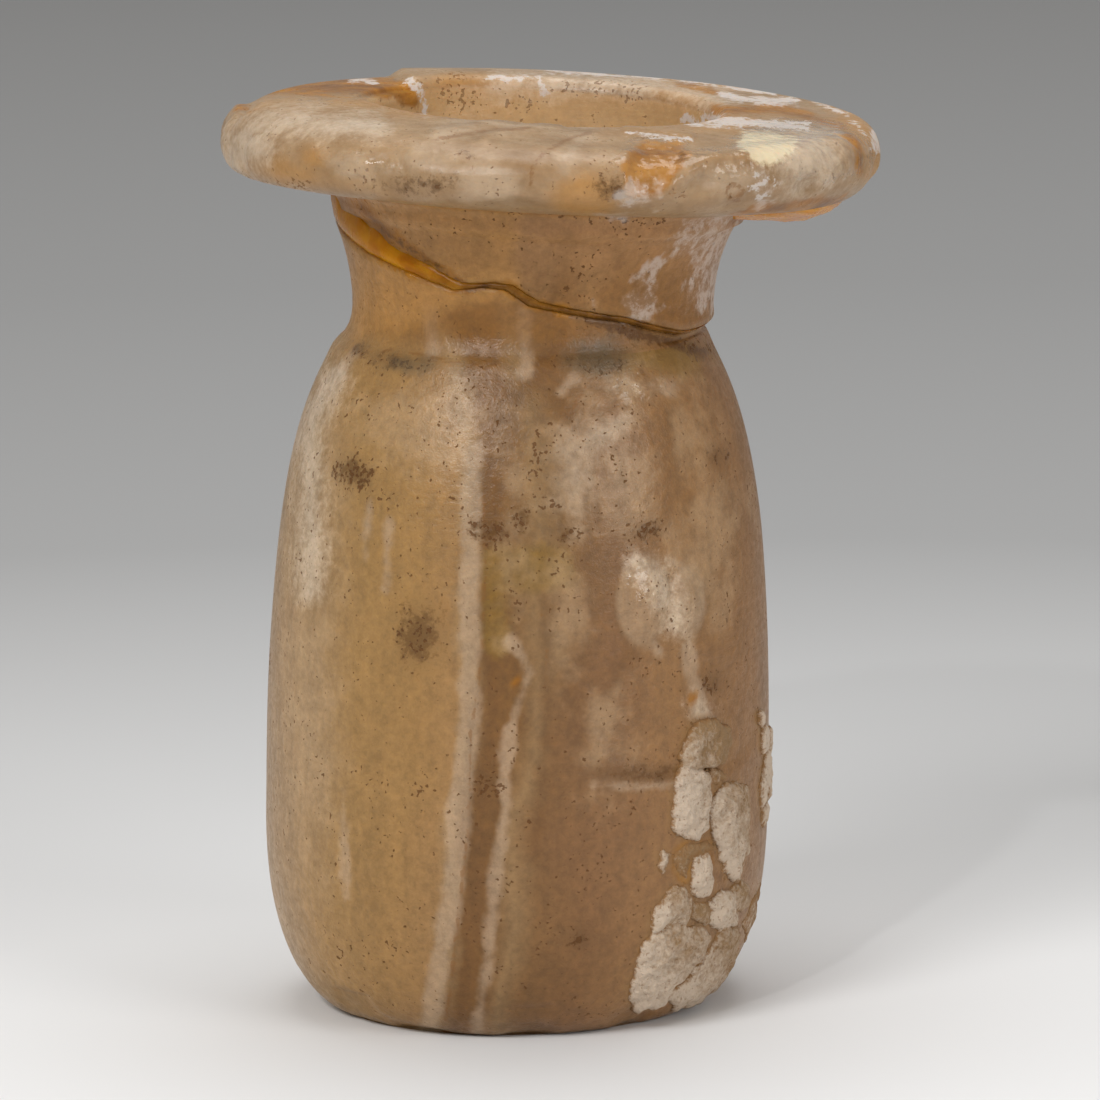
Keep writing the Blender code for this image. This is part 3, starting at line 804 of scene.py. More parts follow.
def carve(skin):
    """Presses the small forms into the smooth jar: waves of the handwork, chips, nodules, panel and dips."""
    outside = skin.outside
    waves = rough(skin.points, 55.0, 3.0, 2) * WAVE_HEIGHT
    chips = rough(skin.points, 160.0, 29.0, 2)
    depth = np.where(outside & (skin.z > 0), waves, 0.0)
    nodules = marks(skin, skin.body, ovals=NODULES)
    depth += NODULE_HEIGHT * np.sin(np.clip(nodules / 2.6, 0.0, 1.0) * math.pi / 2)
    panel = marks(skin, skin.body, strokes=PANEL)
    depth -= PANEL_DEPTH * smooth((panel + 0.5) / 1.2)
    step = marks(skin, skin.body, strokes=STEP)
    depth -= STEP_DEPTH * smooth((step + 0.4) / 0.8)
    recess = marks(skin, skin.front_rim, areas=(RUST_HOLLOW,))
    depth -= HOLLOW_DEPTH * smooth((recess + 0.3) / 1.4)
    ridge = marks(skin, skin.front_rim, strokes=RIDGES)
    depth += RIDGE_HEIGHT * smooth((ridge + 0.4) / 0.8)
    swelling = marks(skin, skin.front_rim, ovals=SWELLINGS)
    depth += SWELLING_HEIGHT * smooth((swelling + 0.4) / 1.4)
    ring = marks(skin, skin.front_rim, ovals=RING)
    depth += RING_HEIGHT * smooth(1 - np.abs(ring) / 0.3)
    dip = marks(skin, skin.front_rim, areas=(CHIPPED_TOP,), least_facing=-1.0)
    depth -= CHIPPED_TOP_DEPTH * smooth((dip + 0.2) / 0.9)
    at_edge = smooth((skin.r - RIM_RADIUS + EDGE_CHIP_REACH) / EDGE_CHIP_REACH) * outside
    depth -= EDGE_CHIP_DEPTH * smooth((chips - 0.12) * 2.5) * at_edge
    foot = outside & (skin.z < FOOT_CHIP_REACH) & (skin.z > 0)
    depth -= np.where(foot, FOOT_CHIP_DEPTH * smooth((chips + 0.1) * 2), 0.0)
    skin.press(depth)
    skin.place(np.clip(skin.points, *np.array(CAD_BOX)))


def keep(mesh, name, values):
    """Stores one number a point on the mesh, for the materials to read."""
    layer = mesh.attributes.new(name, "FLOAT", "POINT")
    layer.data.foreach_set("value", values.astype(np.float32))


# The first vein's place at heights of the body, in millimetres
VEIN_HEIGHTS = (0, 8, 20, 35, 60, 70)
VEIN_PLACES = (-7.9, -6.6, -5.2, -3.9, -3.6, -6.5)


def layer_depth(points):
    """How far across the stone's layers each point lies, in millimetres from the first vein."""
    height = points[:, 2] / MM
    vein = np.interp(height, VEIN_HEIGHTS, VEIN_PLACES)
    return points[:, 0] / MM - 0.6 * height * math.tan(LEAN) - vein


def finish_depth(skin, drawn):
    """How deep each point lies inside all the marks of one finish."""
    depths = []
    for zone, kind, shapes, *wider in drawn:
        where = skin.zones[zone]
        depth = spots(skin, where, shapes) if kind == "spots" else marks(skin, where, **{kind: shapes})
        depths.append(depth + sum(wider))
    return np.maximum.reduce(depths)


def paint_marks(skin):
    """Stores where each kind of stone, film, resin and dirt lies, and where highlights and light are painted.
    """
    mesh = skin.mesh
    height = skin.points[:, 2] / MM
    keep(mesh, "layer", layer_depth(skin.points))
    keep(mesh, "upper", (height - 60) / 10)
    beyond_neck = smooth((skin.r - NECK_TOP_RADIUS - 0.8 * MM) / (1.6 * MM))
    in_mouth = np.where(skin.mouth, smooth((height - 77) / 2), 0.0)
    keep(mesh, "on_rim", np.where(skin.edge, beyond_neck, in_mouth))
    keep(mesh, "inside", np.where(skin.outside, 0.0, 1.0))
    keep(mesh, "crust", crust_height(skin, skin.body)[1])
    for name, drawn in FINISHES.items():
        keep(mesh, name, finish_depth(skin, drawn))


# Materials


def linear(*everyday):
    """A paint from its everyday 0 to 255 numbers."""
    shares = [c / 255 for c in everyday]
    return *(c / 12.92 if c <= 0.04 else ((c + 0.055) / 1.055) ** 2.4 for c in shares), 1.0


def fill(tree, socket, value):
    if isinstance(value, bpy.types.NodeSocket):
        tree.links.new(value, socket)
    elif value is not None:
        socket.default_value = value


def put(tree, kind, inputs=None, **settings):
    """Adds a node with its settings, and fills its sockets with numbers, colours or other nodes' outputs."""
    node = tree.nodes.new(kind)
    for name, value in settings.items():
        setattr(node, name, value)
    for name, value in (inputs or {}).items():
        fill(tree, node.inputs[name], value)
    return node


def calc(tree, operation, first, second=None, third=None, clamp=False):
    inputs = {0: first, 1: second, 2: third}
    return put(tree, "ShaderNodeMath", inputs, operation=operation, use_clamp=clamp).outputs[0]


def blend(tree, share, below, above, mode="MIX"):
    node = put(tree, "ShaderNodeMix", {0: share, 6: below, 7: above}, data_type="RGBA", blend_type=mode)
    return node.outputs[2]


def cover(tree, share, strength, below, above):
    """Lays a paint over another where a mask is, at part of its full strength."""
    return blend(tree, calc(tree, "MULTIPLY", share, strength), below, above)


def spread(tree, value, low, high, start=0.0, end=1.0, ease="LINEAR"):
    inputs = {"Value": value, "From Min": low, "From Max": high, "To Min": start, "To Max": end}
    return put(tree, "ShaderNodeMapRange", inputs, interpolation_type=ease, clamp=True).outputs["Result"]


def mixed(tree, lumps, low, high, paints):
    """Wanders from one paint to another with the lumps."""
    return blend(tree, spread(tree, lumps, low, high), linear(*paints[0]), linear(*paints[1]))


def own_place(tree):
    return tree.nodes.new("ShaderNodeTexCoord").outputs["Object"]


def clouds(tree, place, scale, detail=3.0, roughness=0.55):
    inputs = {"Vector": place, "Scale": scale, "Detail": detail, "Roughness": roughness}
    return put(tree, "ShaderNodeTexNoise", inputs, noise_dimensions="3D").outputs["Fac"]


def stretched(tree, place, across, along):
    inputs = {"Vector": place, "Scale": (across, across, along)}
    return put(tree, "ShaderNodeMapping", inputs).outputs["Vector"]


def shade(tree, colour, amount):
    """Makes a colour darker or lighter by an amount that changes over the surface."""
    grey = put(tree, "ShaderNodeCombineColor", {0: amount, 1: amount, 2: amount}).outputs[0]
    return blend(tree, 1.0, colour, grey, "MULTIPLY")


def group(name, inputs, outputs):
    """A node group with its named inputs and outputs, and the nodes that stand for them."""
    tree = bpy.data.node_groups.new(name, "ShaderNodeTree")
    for label, value in inputs:
        socket = tree.interface.new_socket(label, in_out="INPUT", socket_type="NodeSocketFloat")
        socket.default_value = value
    for label in outputs:
        tree.interface.new_socket(label, in_out="OUTPUT", socket_type="NodeSocketFloat")
    return tree, tree.nodes.new("NodeGroupInput").outputs, tree.nodes.new("NodeGroupOutput").inputs


def place_group(tree, shared, **inputs):
    node = tree.nodes.new("ShaderNodeGroup")
    node.node_tree = shared
    for name, value in inputs.items():
        fill(tree, node.inputs[name], value)
    return node.outputs


def ragged_edge():
    """Turns a depth inside a mark, in millimetres, into a mask whose edge wanders with the given lumps."""
    tree, given, result = group(
        "ragged_edge", (("Depth", 0.0), ("Lumps", 0.5), ("Raggedness", 0.5), ("Softness", 0.2)), ("Mask",))
    swing = calc(tree, "MULTIPLY", given["Raggedness"], 4.0)
    depth = calc(tree, "MULTIPLY_ADD", calc(tree, "SUBTRACT", given["Lumps"], 0.5), swing, given["Depth"])
    outer = calc(tree, "MULTIPLY", given["Softness"], -1.0)
    fill(tree, result["Mask"], spread(tree, depth, outer, given["Softness"], ease="SMOOTHSTEP"))
    return tree


def speckle():
    """Fine irregular specks of dirt, more of them where the crowding is high."""
    tree, given, result = group("speckle", (("Scale", 1500.0), ("Crowding", 0.0), ("Level", 0.66)), ("Mask",))
    grains = clouds(tree, own_place(tree), given["Scale"], 1.5, 0.5)
    level = calc(tree, "SUBTRACT", given["Level"], given["Crowding"])
    over = calc(tree, "DIVIDE", calc(tree, "SUBTRACT", grains, level), 0.05, clamp=True)
    fill(tree, result["Mask"], over)
    return tree


def attribute(tree, name):
    return put(tree, "ShaderNodeAttribute", attribute_name=name, attribute_type="GEOMETRY").outputs["Fac"]


def new_material(name):
    material = bpy.data.materials.new(name)
    material.use_nodes = True
    tree = material.node_tree
    return material, tree, tree.nodes["Principled BSDF"]


def let_light_in(shader, weight, radius, scale):
    """Lets light into the surface, red the furthest, with the scale in metres."""
    shader.inputs["Subsurface Weight"].default_value = weight
    shader.inputs["Subsurface Radius"].default_value = radius
    shader.inputs["Subsurface Scale"].default_value = scale


def raise_relief(tree, shader, height):
    """Makes the surface look raised by a height in metres."""
    bump = put(tree, "ShaderNodeBump", {"Height": height, "Strength": 1.0, "Distance": 1.0})
    fill(tree, shader.inputs["Normal"], bump.outputs["Normal"])


# How far across the layers of the stone, in millimetres from the first vein, and the paint there
BANDS = (
    (-26.0, (156, 126, 92)), (-19.0, (158, 128, 94)), (-15.0, (164, 132, 92)), (-10.5, (156, 121, 73)),
    (-5.0, (152, 116, 68)), (-1.6, (150, 114, 70)), (0.0, (152, 122, 84)), (1.7, (118, 83, 42)),
    (4.4, (116, 81, 42)), (6.4, (136, 106, 70)), (9.0, (118, 85, 49)), (14.0, (122, 87, 52)),
    (19.0, (140, 103, 64)), (27.0, (136, 98, 59)), (34.0, (134, 98, 60)),
)

# The lumps that a mark's edge wanders with, how far it wanders and how soft it is in millimetres
EDGES = {
    "blush": ("low", 3.0, 3.0), "dusk": ("mid", 1.0, 0.9), "olive": ("mid", 1.2, 1.0),
    "cloud": ("mid", 2.2, 2.0), "pale": ("mid", 0.55, 0.45), "honey_and_painted_light": ("low", 1.6, 1.2),
    "dome": ("mid", 0.3, 0.4), "haze_and_highlight": ("mid", 1.2, 1.2), "pallor_and_highlight": ("crumbly", 1.6, 1.6),
    "crack": ("fine", 0.25, 0.1), "grime": ("crumbly", 2.2, 0.8), "specks": ("crumbly", 1.4, 0.9),
    "grey": ("mid", 1.2, 1.2), "amber": ("mid", 0.6, 0.35), "rust": ("mid", 0.8, 0.4),
    "cream": ("crumbly", 0.8, 0.4), "dirt": ("fine", 0.5, 0.3), "chalk": ("mid", 2.0, 0.6),
    "milk": ("crumbly", 0.75, 0.12), "shine": ("mid", 0.8, 0.5),
}

# How strongly a plain finish covers what is under it, and its paint
PAINTS = {
    "blush": (0.3, (130, 92, 58)), "dusk": (0.6, (108, 74, 38)), "olive": (0.8, (124, 93, 38)),
    "cloud": (0.42, (176, 148, 114)), "pale": (0.56, (174, 149, 122)), "honey_and_painted_light": (0.75, (172, 126, 68)),
    "dome": (0.5, (172, 146, 116)), "haze_and_highlight": (0.42, (186, 166, 142)), "pallor_and_highlight": (0.6, (202, 184, 162)),
    "crack": (0.55, (122, 80, 36)), "grime": (0.7, (86, 56, 20)), "grey": (0.65, (88, 76, 56)),
    "cream": (0.8, (224, 208, 174)), "dirt": (0.7, (84, 52, 18)),
}

# The darker and the lighter paint of the finishes that are uneven in themselves
CREAMY_RIM = ((148, 118, 84), (170, 141, 107))
HONEY_NECK = ((122, 80, 28), (142, 98, 44))
OLD_RESIN = ((108, 63, 5), (172, 114, 26))
RUSTY = ((126, 76, 18), (172, 122, 60))
CRUST_PAINTS = ((136, 106, 70), (190, 170, 149))
THIN_GLUE = ((72, 43, 10), (132, 88, 28))
THICK_GLUE = ((176, 104, 0), (206, 140, 16))


def banded_stone(tree, layer, low, mid):
    """Bands of colour across the layers that run up and down through the stone."""
    ripple = calc(tree, "MULTIPLY", mid, 1.6)
    wander = calc(tree, "MULTIPLY_ADD", calc(tree, "SUBTRACT", low, 0.5), 5.0, ripple)
    first, last = BANDS[0][0], BANDS[-1][0]
    share = spread(tree, calc(tree, "ADD", layer, wander), first, last)
    ramp = put(tree, "ShaderNodeValToRGB", {"Fac": share})
    while len(ramp.color_ramp.elements) < len(BANDS):
        ramp.color_ramp.elements.new(0.5)
    for element, (at, paint) in zip(ramp.color_ramp.elements, BANDS):
        element.position = (at - first) / (last - first)
        element.color = linear(*paint)
    return ramp.outputs["Color"]


def alabaster(edge_group, speck_group):
    """The banded, translucent stone with its resin, films and dirt, and painted highlights and light."""
    material, tree, shader = new_material("alabaster")
    place = own_place(tree)
    low = clouds(tree, place, 75.0, 2.0)
    mid = clouds(tree, place, 270.0, 3.0, 0.6)
    fine = clouds(tree, place, 1100.0, 3.0, 0.75)
    along = clouds(tree, stretched(tree, place, 1.0, 0.1), 420.0, 2.0, 0.6)
    lathe = clouds(tree, stretched(tree, place, 0.07, 1.0), 1900.0, 1.0)
    crumbly = calc(tree, "MULTIPLY_ADD", fine, 0.6, calc(tree, "MULTIPLY", mid, 0.4))
    lumps = {"low": low, "mid": mid, "fine": fine, "crumbly": crumbly}

    def mask(name):
        kind, ragged, soft = EDGES[name]
        depth = attribute(tree, name)
        return place_group(
            tree, edge_group, Depth=depth, Lumps=lumps[kind], Raggedness=ragged, Softness=soft)["Mask"]

    def painted(colour, *names):
        for name in names:
            strength, paint = PAINTS[name]
            colour = cover(tree, mask(name), strength, colour, linear(*paint))
        return colour

    colour = banded_stone(tree, attribute(tree, "layer"), low, mid)
    colour = painted(colour, "blush", "dusk", "olive", "cloud", "pale")

    # Creamy rim and amber-brown neck, with painted light close under the rim that lifts the rim's shadow on
    # the neck
    on_rim = attribute(tree, "on_rim")
    off_rim = calc(tree, "SUBTRACT", 1.0, on_rim)
    upper = attribute(tree, "upper")
    colour = cover(tree, on_rim, 0.9, colour, mixed(tree, mid, 0.3, 0.7, CREAMY_RIM))
    neck_share = calc(tree, "MULTIPLY", spread(tree, upper, 0.65, 1.0, 0.0, 0.7, "SMOOTHSTEP"), off_rim)
    colour = blend(tree, neck_share, colour, mixed(tree, low, 0.3, 0.7, HONEY_NECK))
    # Painted light: the neck turns towards a light tan close under the rim, where the rim's shadow falls
    painted_light_under_rim = calc(tree, "MULTIPLY", spread(tree, upper, 1.35, 2.0, 0.0, 0.6), off_rim)
    colour = blend(tree, painted_light_under_rim, colour, linear(190, 142, 92))
    colour = painted(colour, "honey_and_painted_light")
    colour = cover(tree, attribute(tree, "inside"), 0.75, colour, linear(198, 160, 112))
    # Pale paint of the nodules, then pale stone with painted highlights on the nodules, shoulder and rim
    colour = painted(colour, "dome", "haze_and_highlight", "pallor_and_highlight")

    # Mottling, faint streaks along the layers and fine grain
    mottle = calc(tree, "MULTIPLY_ADD", fine, 0.65, calc(tree, "MULTIPLY", mid, 0.3))
    streaks = calc(tree, "MULTIPLY_ADD", calc(tree, "SUBTRACT", along, 0.5), off_rim, 0.5)
    mottle = calc(tree, "MULTIPLY_ADD", streaks, 0.3, mottle)
    calm = calc(tree, "MULTIPLY_ADD", on_rim, -0.5, 1.0)
    uneven = spread(tree, mottle, 0.48, 0.78, -0.2, 0.2)
    colour = shade(tree, colour, calc(tree, "MULTIPLY_ADD", uneven, calm, 1.0))

    # Cracks, smudges and specks, fainter on the rim
    colour = painted(colour, "crack", "grime")
    crowding = calc(tree, "MULTIPLY_ADD", calc(tree, "SUBTRACT", mid, 0.5), 0.4,
                    calc(tree, "MULTIPLY", mask("specks"), 0.16))
    specks = place_group(tree, speck_group, Scale=2300.0, Crowding=crowding, Level=0.7)["Mask"]
    fainter = calc(tree, "MULTIPLY_ADD", on_rim, -0.35, 1.0)
    colour = cover(tree, calc(tree, "MULTIPLY", specks, fainter), 0.8, colour, linear(92, 56, 18))
    colour = painted(colour, "grey")

    # Resin, rust and the white films
    colour = cover(tree, mask("amber"), 0.9, colour, mixed(tree, mid, 0.32, 0.68, OLD_RESIN))
    rust = mask("rust")
    colour = cover(tree, rust, 0.9, colour, mixed(tree, mid, 0.35, 0.65, RUSTY))
    colour = painted(colour, "cream", "dirt")
    chalk = calc(tree, "MULTIPLY", mask("chalk"), spread(tree, crumbly, 0.44, 0.56, 0.1, 0.6))
    film = calc(tree, "MAXIMUM", chalk, mask("milk"))
    colour = cover(tree, film, 0.85, colour, linear(200, 190, 182))

    # Rusty stain round the foot of the mineral crust
    swing = calc(tree, "SUBTRACT", crumbly, 0.5)
    near_crust = calc(tree, "MULTIPLY_ADD", swing, 4.0, attribute(tree, "crust"))
    colour = cover(tree, spread(tree, near_crust, -0.6, 0.3), 0.7, colour, linear(146, 108, 66))
    fill(tree, shader.inputs["Base Color"], colour)

    # Polish: worn stone, glossy resin and dull films
    polish = spread(tree, fine, 0.35, 0.65, 0.46, 0.3)
    glossy = calc(tree, "MAXIMUM", rust, mask("shine"))
    roughness = calc(tree, "MULTIPLY_ADD", glossy, -0.32, polish)
    roughness = calc(tree, "MULTIPLY_ADD", film, 0.3, roughness, clamp=True)
    roughness = calc(tree, "MULTIPLY_ADD", specks, 0.4, roughness, clamp=True)
    fill(tree, shader.inputs["Roughness"], roughness)
    shader.inputs["Specular IOR Level"].default_value = 0.32
    let_light_in(shader, 0.3, (1.0, 0.6, 0.35), 0.004)

    # Small relief, in millimetres
    grain = calc(tree, "MULTIPLY", fine, calm)
    relief = calc(tree, "MULTIPLY_ADD", grain, 0.11, calc(tree, "MULTIPLY", lathe, 0.03))
    relief = calc(tree, "MULTIPLY_ADD", specks, -0.06, relief)
    crystals = calc(tree, "MULTIPLY", glossy, clouds(tree, place, 620.0, 1.0))
    relief = calc(tree, "MULTIPLY_ADD", crystals, 0.3, relief)
    raise_relief(tree, shader, calc(tree, "MULTIPLY", relief, MM))
    return material


def mineral_crust(speck_group):
    """Gritty crust, rusty at its foot, tan on its sides and chalky white on its crowns."""
    material, tree, shader = new_material("mineral_crust")
    place = own_place(tree)
    grit = clouds(tree, place, 2100.0, 3.0, 0.7)
    mid = clouds(tree, place, 520.0, 3.0, 0.6)
    gritty = calc(tree, "SUBTRACT", grit, 0.5)
    uneven = calc(tree, "MULTIPLY_ADD", gritty, 1.3, calc(tree, "SUBTRACT", mid, 0.5))
    colour = mixed(tree, calc(tree, "ADD", attribute(tree, "white"), uneven), 0.1, 0.85, CRUST_PAINTS)
    rim_of_lump = calc(tree, "MULTIPLY_ADD", gritty, 0.9, attribute(tree, "lump"))
    colour = blend(tree, spread(tree, rim_of_lump, 0.05, 0.3), linear(134, 96, 52), colour)
    specks = place_group(tree, speck_group, Scale=2600.0, Crowding=0.0, Level=0.64)["Mask"]
    colour = cover(tree, specks, 0.5, colour, linear(110, 76, 42))
    fill(tree, shader.inputs["Base Color"], colour)
    shader.inputs["Roughness"].default_value = 0.75
    let_light_in(shader, 0.15, (1.0, 0.7, 0.5), 0.001)
    raise_relief(tree, shader, calc(tree, "MULTIPLY", grit, 0.3 * MM))
    return material


def amber_resin():
    """Old yellowed glue, glossy and a little cloudy, brown where it is thin, and with painted light on the
    thickest glue.
    """
    material, tree, shader = new_material("amber_resin")
    cloudy = clouds(tree, own_place(tree), 330.0, 4.0, 0.6)
    thickness = attribute(tree, "thick")
    thin = mixed(tree, cloudy, 0.34, 0.66, THIN_GLUE)
    thick = mixed(tree, cloudy, 0.34, 0.66, THICK_GLUE)
    colour = blend(tree, spread(tree, thickness, 0.05, 0.6), thin, thick)
    # Painted light on the thickest glue, at the left of the seam, lifting the shadow of the rim above it
    colour = blend(tree, spread(tree, thickness, 0.6, 1.0), colour, linear(178, 122, 38))
    fill(tree, shader.inputs["Base Color"], colour)
    fill(tree, shader.inputs["Roughness"], spread(tree, cloudy, 0.3, 0.7, 0.18, 0.34))
    shader.inputs["Specular IOR Level"].default_value = 0.15
    let_light_in(shader, 0.4, (1.0, 0.5, 0.15), 0.0015)
    raise_relief(tree, shader, calc(tree, "MULTIPLY", cloudy, 0.12 * MM))
    return material


# The floor, the lamps and the pieces


FLOOR_LIGHT_POOL_MIDDLE = (0.0, -0.1, 0.0)
FLOOR_FADE = 1.25
FLOOR_HALF_WIDTH = 3.0

# Share of the fade, and how pale the floor is there under the painted light
FLOOR_GREYS = (
    (0.0, 0.83), (0.05, 0.81), (0.1, 0.73), (0.16, 0.6), (0.29, 0.385), (0.48, 0.35), (0.78, 0.37),
)


def pale_floor():
    """A floor with a painted pool of light: brightest at the jar, fading to grey behind it."""
    material, tree, shader = new_material("pale_floor")
    ends = {0: own_place(tree), 1: FLOOR_LIGHT_POOL_MIDDLE}
    away = put(tree, "ShaderNodeVectorMath", ends, operation="DISTANCE").outputs["Value"]
    ramp = put(tree, "ShaderNodeValToRGB", {"Fac": spread(tree, away, 0.0, FLOOR_FADE)})
    while len(ramp.color_ramp.elements) < len(FLOOR_GREYS):
        ramp.color_ramp.elements.new(0.5)
    for element, (at, grey) in zip(ramp.color_ramp.elements, FLOOR_GREYS):
        element.position = at
        element.color = (grey, grey, grey, 1.0)
    fill(tree, shader.inputs["Base Color"], ramp.outputs["Color"])
    shader.inputs["Roughness"].default_value = 0.9
    shader.inputs["Specular IOR Level"].default_value = 0.1
    return material


def make_floor():
    bm = bmesh.new()
    bmesh.ops.create_grid(bm, x_segments=1, y_segments=1, size=FLOOR_HALF_WIDTH)
    mesh = bpy.data.meshes.new("floor")
    bm.to_mesh(mesh)
    bm.free()
    mesh.materials.append(pale_floor())
    floor = bpy.data.objects.new("floor", mesh)
    bpy.context.scene.collection.objects.link(floor)


# Name, place, width in metres and power in watts
LAMPS = (
    ("key", (-0.55, -0.75, 0.75), 0.45, 6.0),
    ("fill", (0.7, -0.6, 0.35), 0.5, 3.2),
    ("top", (0.05, 0.25, 0.95), 0.7, 4.0),
    ("spark", (-0.3, -0.8, 0.62), 0.04, 1.4),
)
LAMPS_AIM = Vector((0.0, 0.0, 0.05))
STUDIO_LIGHT = (1.0, 0.98, 0.95, 1.0)
STUDIO_STRENGTH = 0.35


def set_lights():
    for name, place, width, power in LAMPS:
        data = bpy.data.lights.new(name, "AREA")
        data.shape = "DISK"
        data.size = width
        data.energy = power
        lamp = bpy.data.objects.new(name, data)
        lamp.location = place
        lamp.rotation_mode = "QUATERNION"
        lamp.rotation_quaternion = (LAMPS_AIM - Vector(place)).to_track_quat("-Z", "Y")
        bpy.context.scene.collection.objects.link(lamp)
    world = bpy.data.worlds.new("studio")
    world.use_nodes = True
    background = world.node_tree.nodes["Background"]
    background.inputs["Color"].default_value = STUDIO_LIGHT
    background.inputs["Strength"].default_value = STUDIO_STRENGTH
    bpy.context.scene.world = world
    bpy.context.scene.view_settings.view_transform = "Standard"


def finished(name, mesh, material):
    """Makes a piece that rides on the jar's body, with the material it is given."""
    mesh.materials.append(material)
    piece = bpy.data.objects.new(name, mesh)
    bpy.context.scene.collection.objects.link(piece)
    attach(piece, "root")
    return piece


def mesh_from(bm, name):
    mesh = bpy.data.meshes.new(name)
    bm.to_mesh(mesh)
    bm.free()
    mesh.shade_smooth()
    return mesh


def make_jar(material):
    skin = Skin(mesh_from(turned_jar(), "alabaster_jar"))
    carve(skin)
    paint_marks(skin)
    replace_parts(finished("alabaster_jar", skin.mesh, material), "jar")


CRUST_ANGLES = (math.radians(24), math.radians(104))
CRUST_HEIGHTS = (1.0 * MM, 33.0 * MM)
CRUST_GRID = (230, 215)
CRUST_SINK = 0.25 * MM
CRUST_LOWEST = 0.02
CRUST_WANDER_PIXELS = 5


def make_crust(material):
    """The mineral crust: a fine sheet over the lower right, kept only where it stands out in lumps."""
    bm = bmesh.new()
    bmesh.ops.create_grid(bm, x_segments=CRUST_GRID[0], y_segments=CRUST_GRID[1], size=0.5)
    mesh = mesh_from(bm, "mineral_crust")
    flat = read_points(mesh) + 0.5
    first, last = CRUST_ANGLES
    foot, crown = CRUST_HEIGHTS
    angle = first + (last - first) * flat[:, 0]
    z = foot + (crown - foot) * flat[:, 1]
    sheet = Sheet(mesh, worn_place(body_radius(z), z, angle))
    everywhere = np.ones(z.shape, bool)
    sheet.px += CRUST_WANDER_PIXELS * rough(sheet.points, 500.0, 71.0, 2)
    sheet.py += CRUST_WANDER_PIXELS * rough(sheet.points, 500.0, 83.0, 2)
    height, _, white = crust_height(sheet, everywhere)
    knobs = rough(sheet.points, 700.0, 41.0, 1)
    bristle = rough(sheet.points, 2300.0, 57.0, 1)
    height = height * (1 + 0.5 * knobs + 0.3 * bristle)
    sheet.press(height * MM - CRUST_SINK * (height < CRUST_LOWEST))
    keep(mesh, "lump", height)
    keep(mesh, "white", white)
    bm = bmesh.new()
    bm.from_mesh(mesh)
    tall = bm.verts.layers.float["lump"]
    hidden = [face for face in bm.faces if max(vert[tall] for vert in face.verts) < CRUST_LOWEST]
    bmesh.ops.delete(bm, geom=hidden, context="FACES")
    bmesh.ops.solidify(bm, geom=bm.faces, thickness=CRUST_SINK)
    bmesh.ops.recalc_face_normals(bm, faces=bm.faces)
    bm.to_mesh(mesh)
    bm.free()
    mesh.shade_smooth()
    finished("mineral_crust", mesh, material)


SEAM_HALF_WIDTH = 0.24 * MM
SEAM_FILL_RISE = 1.25 * MM
SEAM_SINK = 0.3 * MM
SEAM_BULGE = 0.36 * MM

# The plain ring that the glue is bent from: how many times wider it is than its section, and how closely
# its unevenness is spaced
RING_WIDTH = 20
RING_SPACING = 0.02


def make_seam_resin(material):
    """The glossy bead of old glue that fills the break all round the neck."""
    bm = bmesh.new()
    upright = Matrix.Translation((RING_WIDTH, 0, 0)) @ Matrix.Rotation(math.pi / 2, 4, "X")
    bmesh.ops.create_circle(bm, segments=14, radius=1.0, matrix=upright)
    bmesh.ops.spin(bm, geom=bm.verts[:] + bm.edges[:], cent=(0, 0, 0), axis=(0, 0, 1),
                   angle=2 * math.pi, steps=360, use_merge=True)
    bmesh.ops.recalc_face_normals(bm, faces=bm.faces)
    mesh = mesh_from(bm, "seam_resin")
    ring = read_points(mesh)
    out = np.hypot(ring[:, 0], ring[:, 1]) - RING_WIDTH
    up = ring[:, 2]
    angle = np.arctan2(ring[:, 0], -ring[:, 1])
    right = np.maximum(0.0, np.sin(angle))
    width = SEAM_HALF_WIDTH * (1 - 0.3 * right + 0.4 * rough(ring * RING_SPACING, 60.0, 5.0, 2))
    left = np.maximum(0.0, -np.sin(angle)) ** 2
    fill_rise = SEAM_FILL_RISE * left * (1 + 0.25 * rough(ring * RING_SPACING, 25.0, 9.0, 2))
    line = break_height(angle)
    z = line + fill_rise + up * (width + fill_rise)
    over = np.clip((z - line) / (2 * fill_rise + width), 0.0, 1.0)
    ledge = UPPER_SHIFT * left * smooth((z - line + BREAK_GAP) / (2 * BREAK_GAP)) * (1 - over**2)
    r = neck_radius(z) - SEAM_SINK + out * SEAM_BULGE + ledge
    mesh.vertices.foreach_set("co", leaning_place(r, z, angle, np.ones(r.shape, bool)).ravel())
    mesh.update()
    keep(mesh, "thick", left)
    finished("seam_resin", mesh, material)


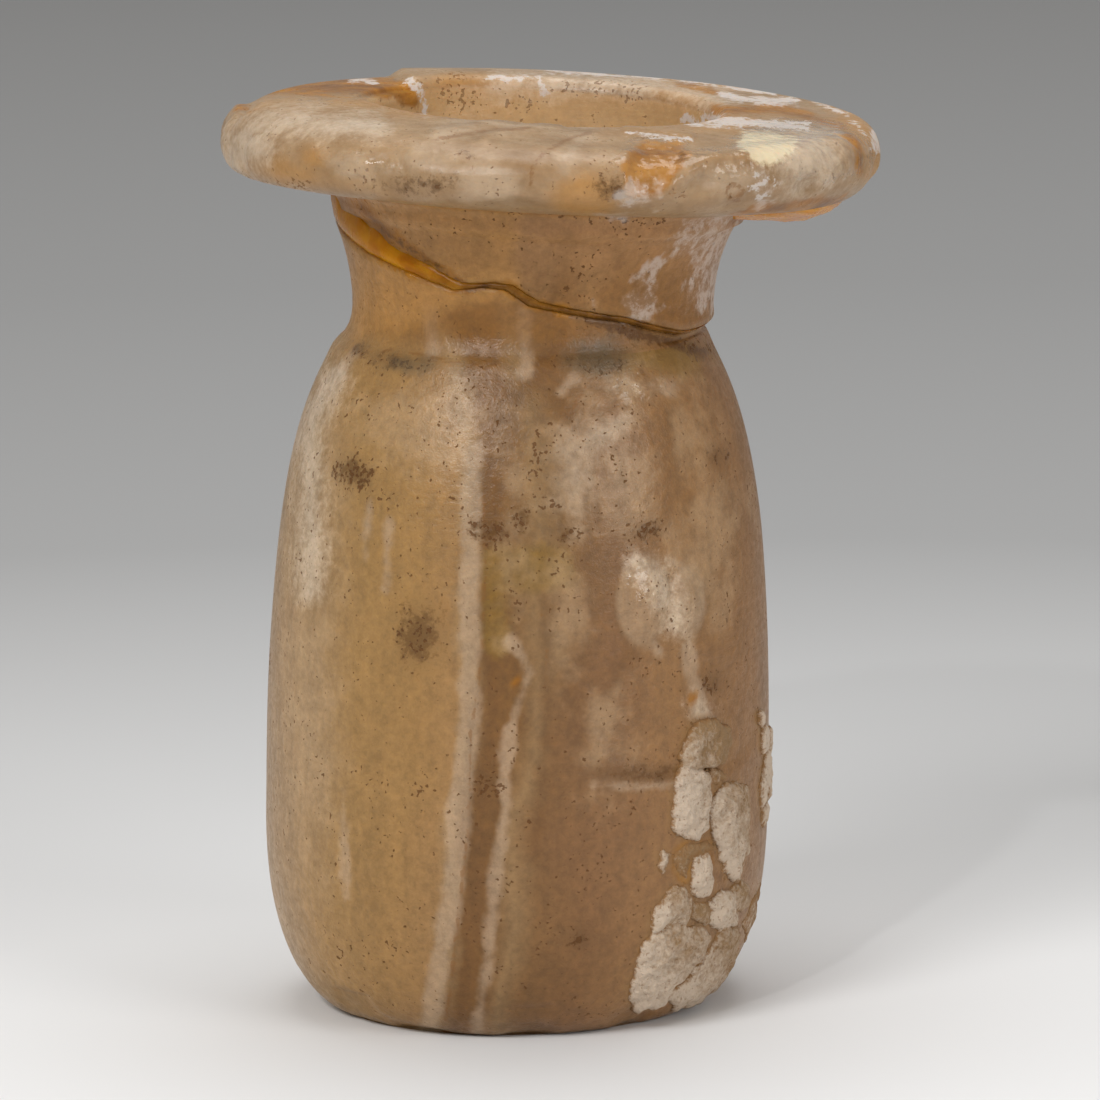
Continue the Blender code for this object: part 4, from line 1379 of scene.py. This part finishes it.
# The lump of glue under the rim: radius and height of its section's corners in millimetres
RESIN_SECTION = (
    (17.5, 85), (17.5, 80.2), (20.5, 79.8), (23, 79.9), (26, 80.3), (28.4, 81.2), (30.2, 82.8), (30, 86),
)
RESIN_ENDS = (math.radians(57), math.radians(116))
RESIN_TURN = RESIN_ENDS[1] - RESIN_ENDS[0]
RESIN_HANGS_FROM = 83 * MM
RESIN_THICKNESS = 0.6


def make_rim_resin(material):
    """The lump of old glue that hangs under the right of the rim."""
    bm = bmesh.new()
    corners = [bm.verts.new((r, 0, z)) for r, z in RESIN_SECTION]
    face = bm.faces.new(corners)
    bmesh.ops.subdivide_edges(bm, edges=face.edges[:], cuts=3)
    bmesh.ops.spin(bm, geom=bm.faces[:] + bm.edges[:] + bm.verts[:], cent=(0, 0, 0), axis=(0, 0, 1),
                   angle=RESIN_TURN, steps=48, use_merge=False)
    bmesh.ops.remove_doubles(bm, verts=bm.verts, dist=0.001)
    bmesh.ops.recalc_face_normals(bm, faces=bm.faces)
    mesh = mesh_from(bm, "rim_resin")
    plain = read_points(mesh)
    r = np.hypot(plain[:, 0], plain[:, 1]) * MM
    turn = np.arctan2(plain[:, 1], plain[:, 0])
    taper = np.sqrt(np.clip(1 - np.abs(2 * turn / RESIN_TURN - 1) ** 6, 0.0, 1.0))
    angle = RESIN_ENDS[0] + turn
    z = plain[:, 2] * MM
    hanging = np.maximum(0.0, RESIN_HANGS_FROM - z) * (1 + 0.12 * rough(plain * MM, 260.0, 13.0, 2))
    z = np.maximum(z, RESIN_HANGS_FROM) - hanging * (0.25 + 0.75 * taper)
    mesh.vertices.foreach_set("co", leaning_place(r, z, angle, np.ones(r.shape, bool)).ravel())
    mesh.update()
    keep(mesh, "thick", np.full(r.shape, RESIN_THICKNESS))
    finished("rim_resin", mesh, material)


def make_vessel():
    speck_group = speckle()
    make_jar(alabaster(ragged_edge(), speck_group))
    make_crust(mineral_crust(speck_group))
    resin = amber_resin()
    make_seam_resin(resin)
    make_rim_resin(resin)


set_camera()
make_vessel()
make_floor()
set_lights()
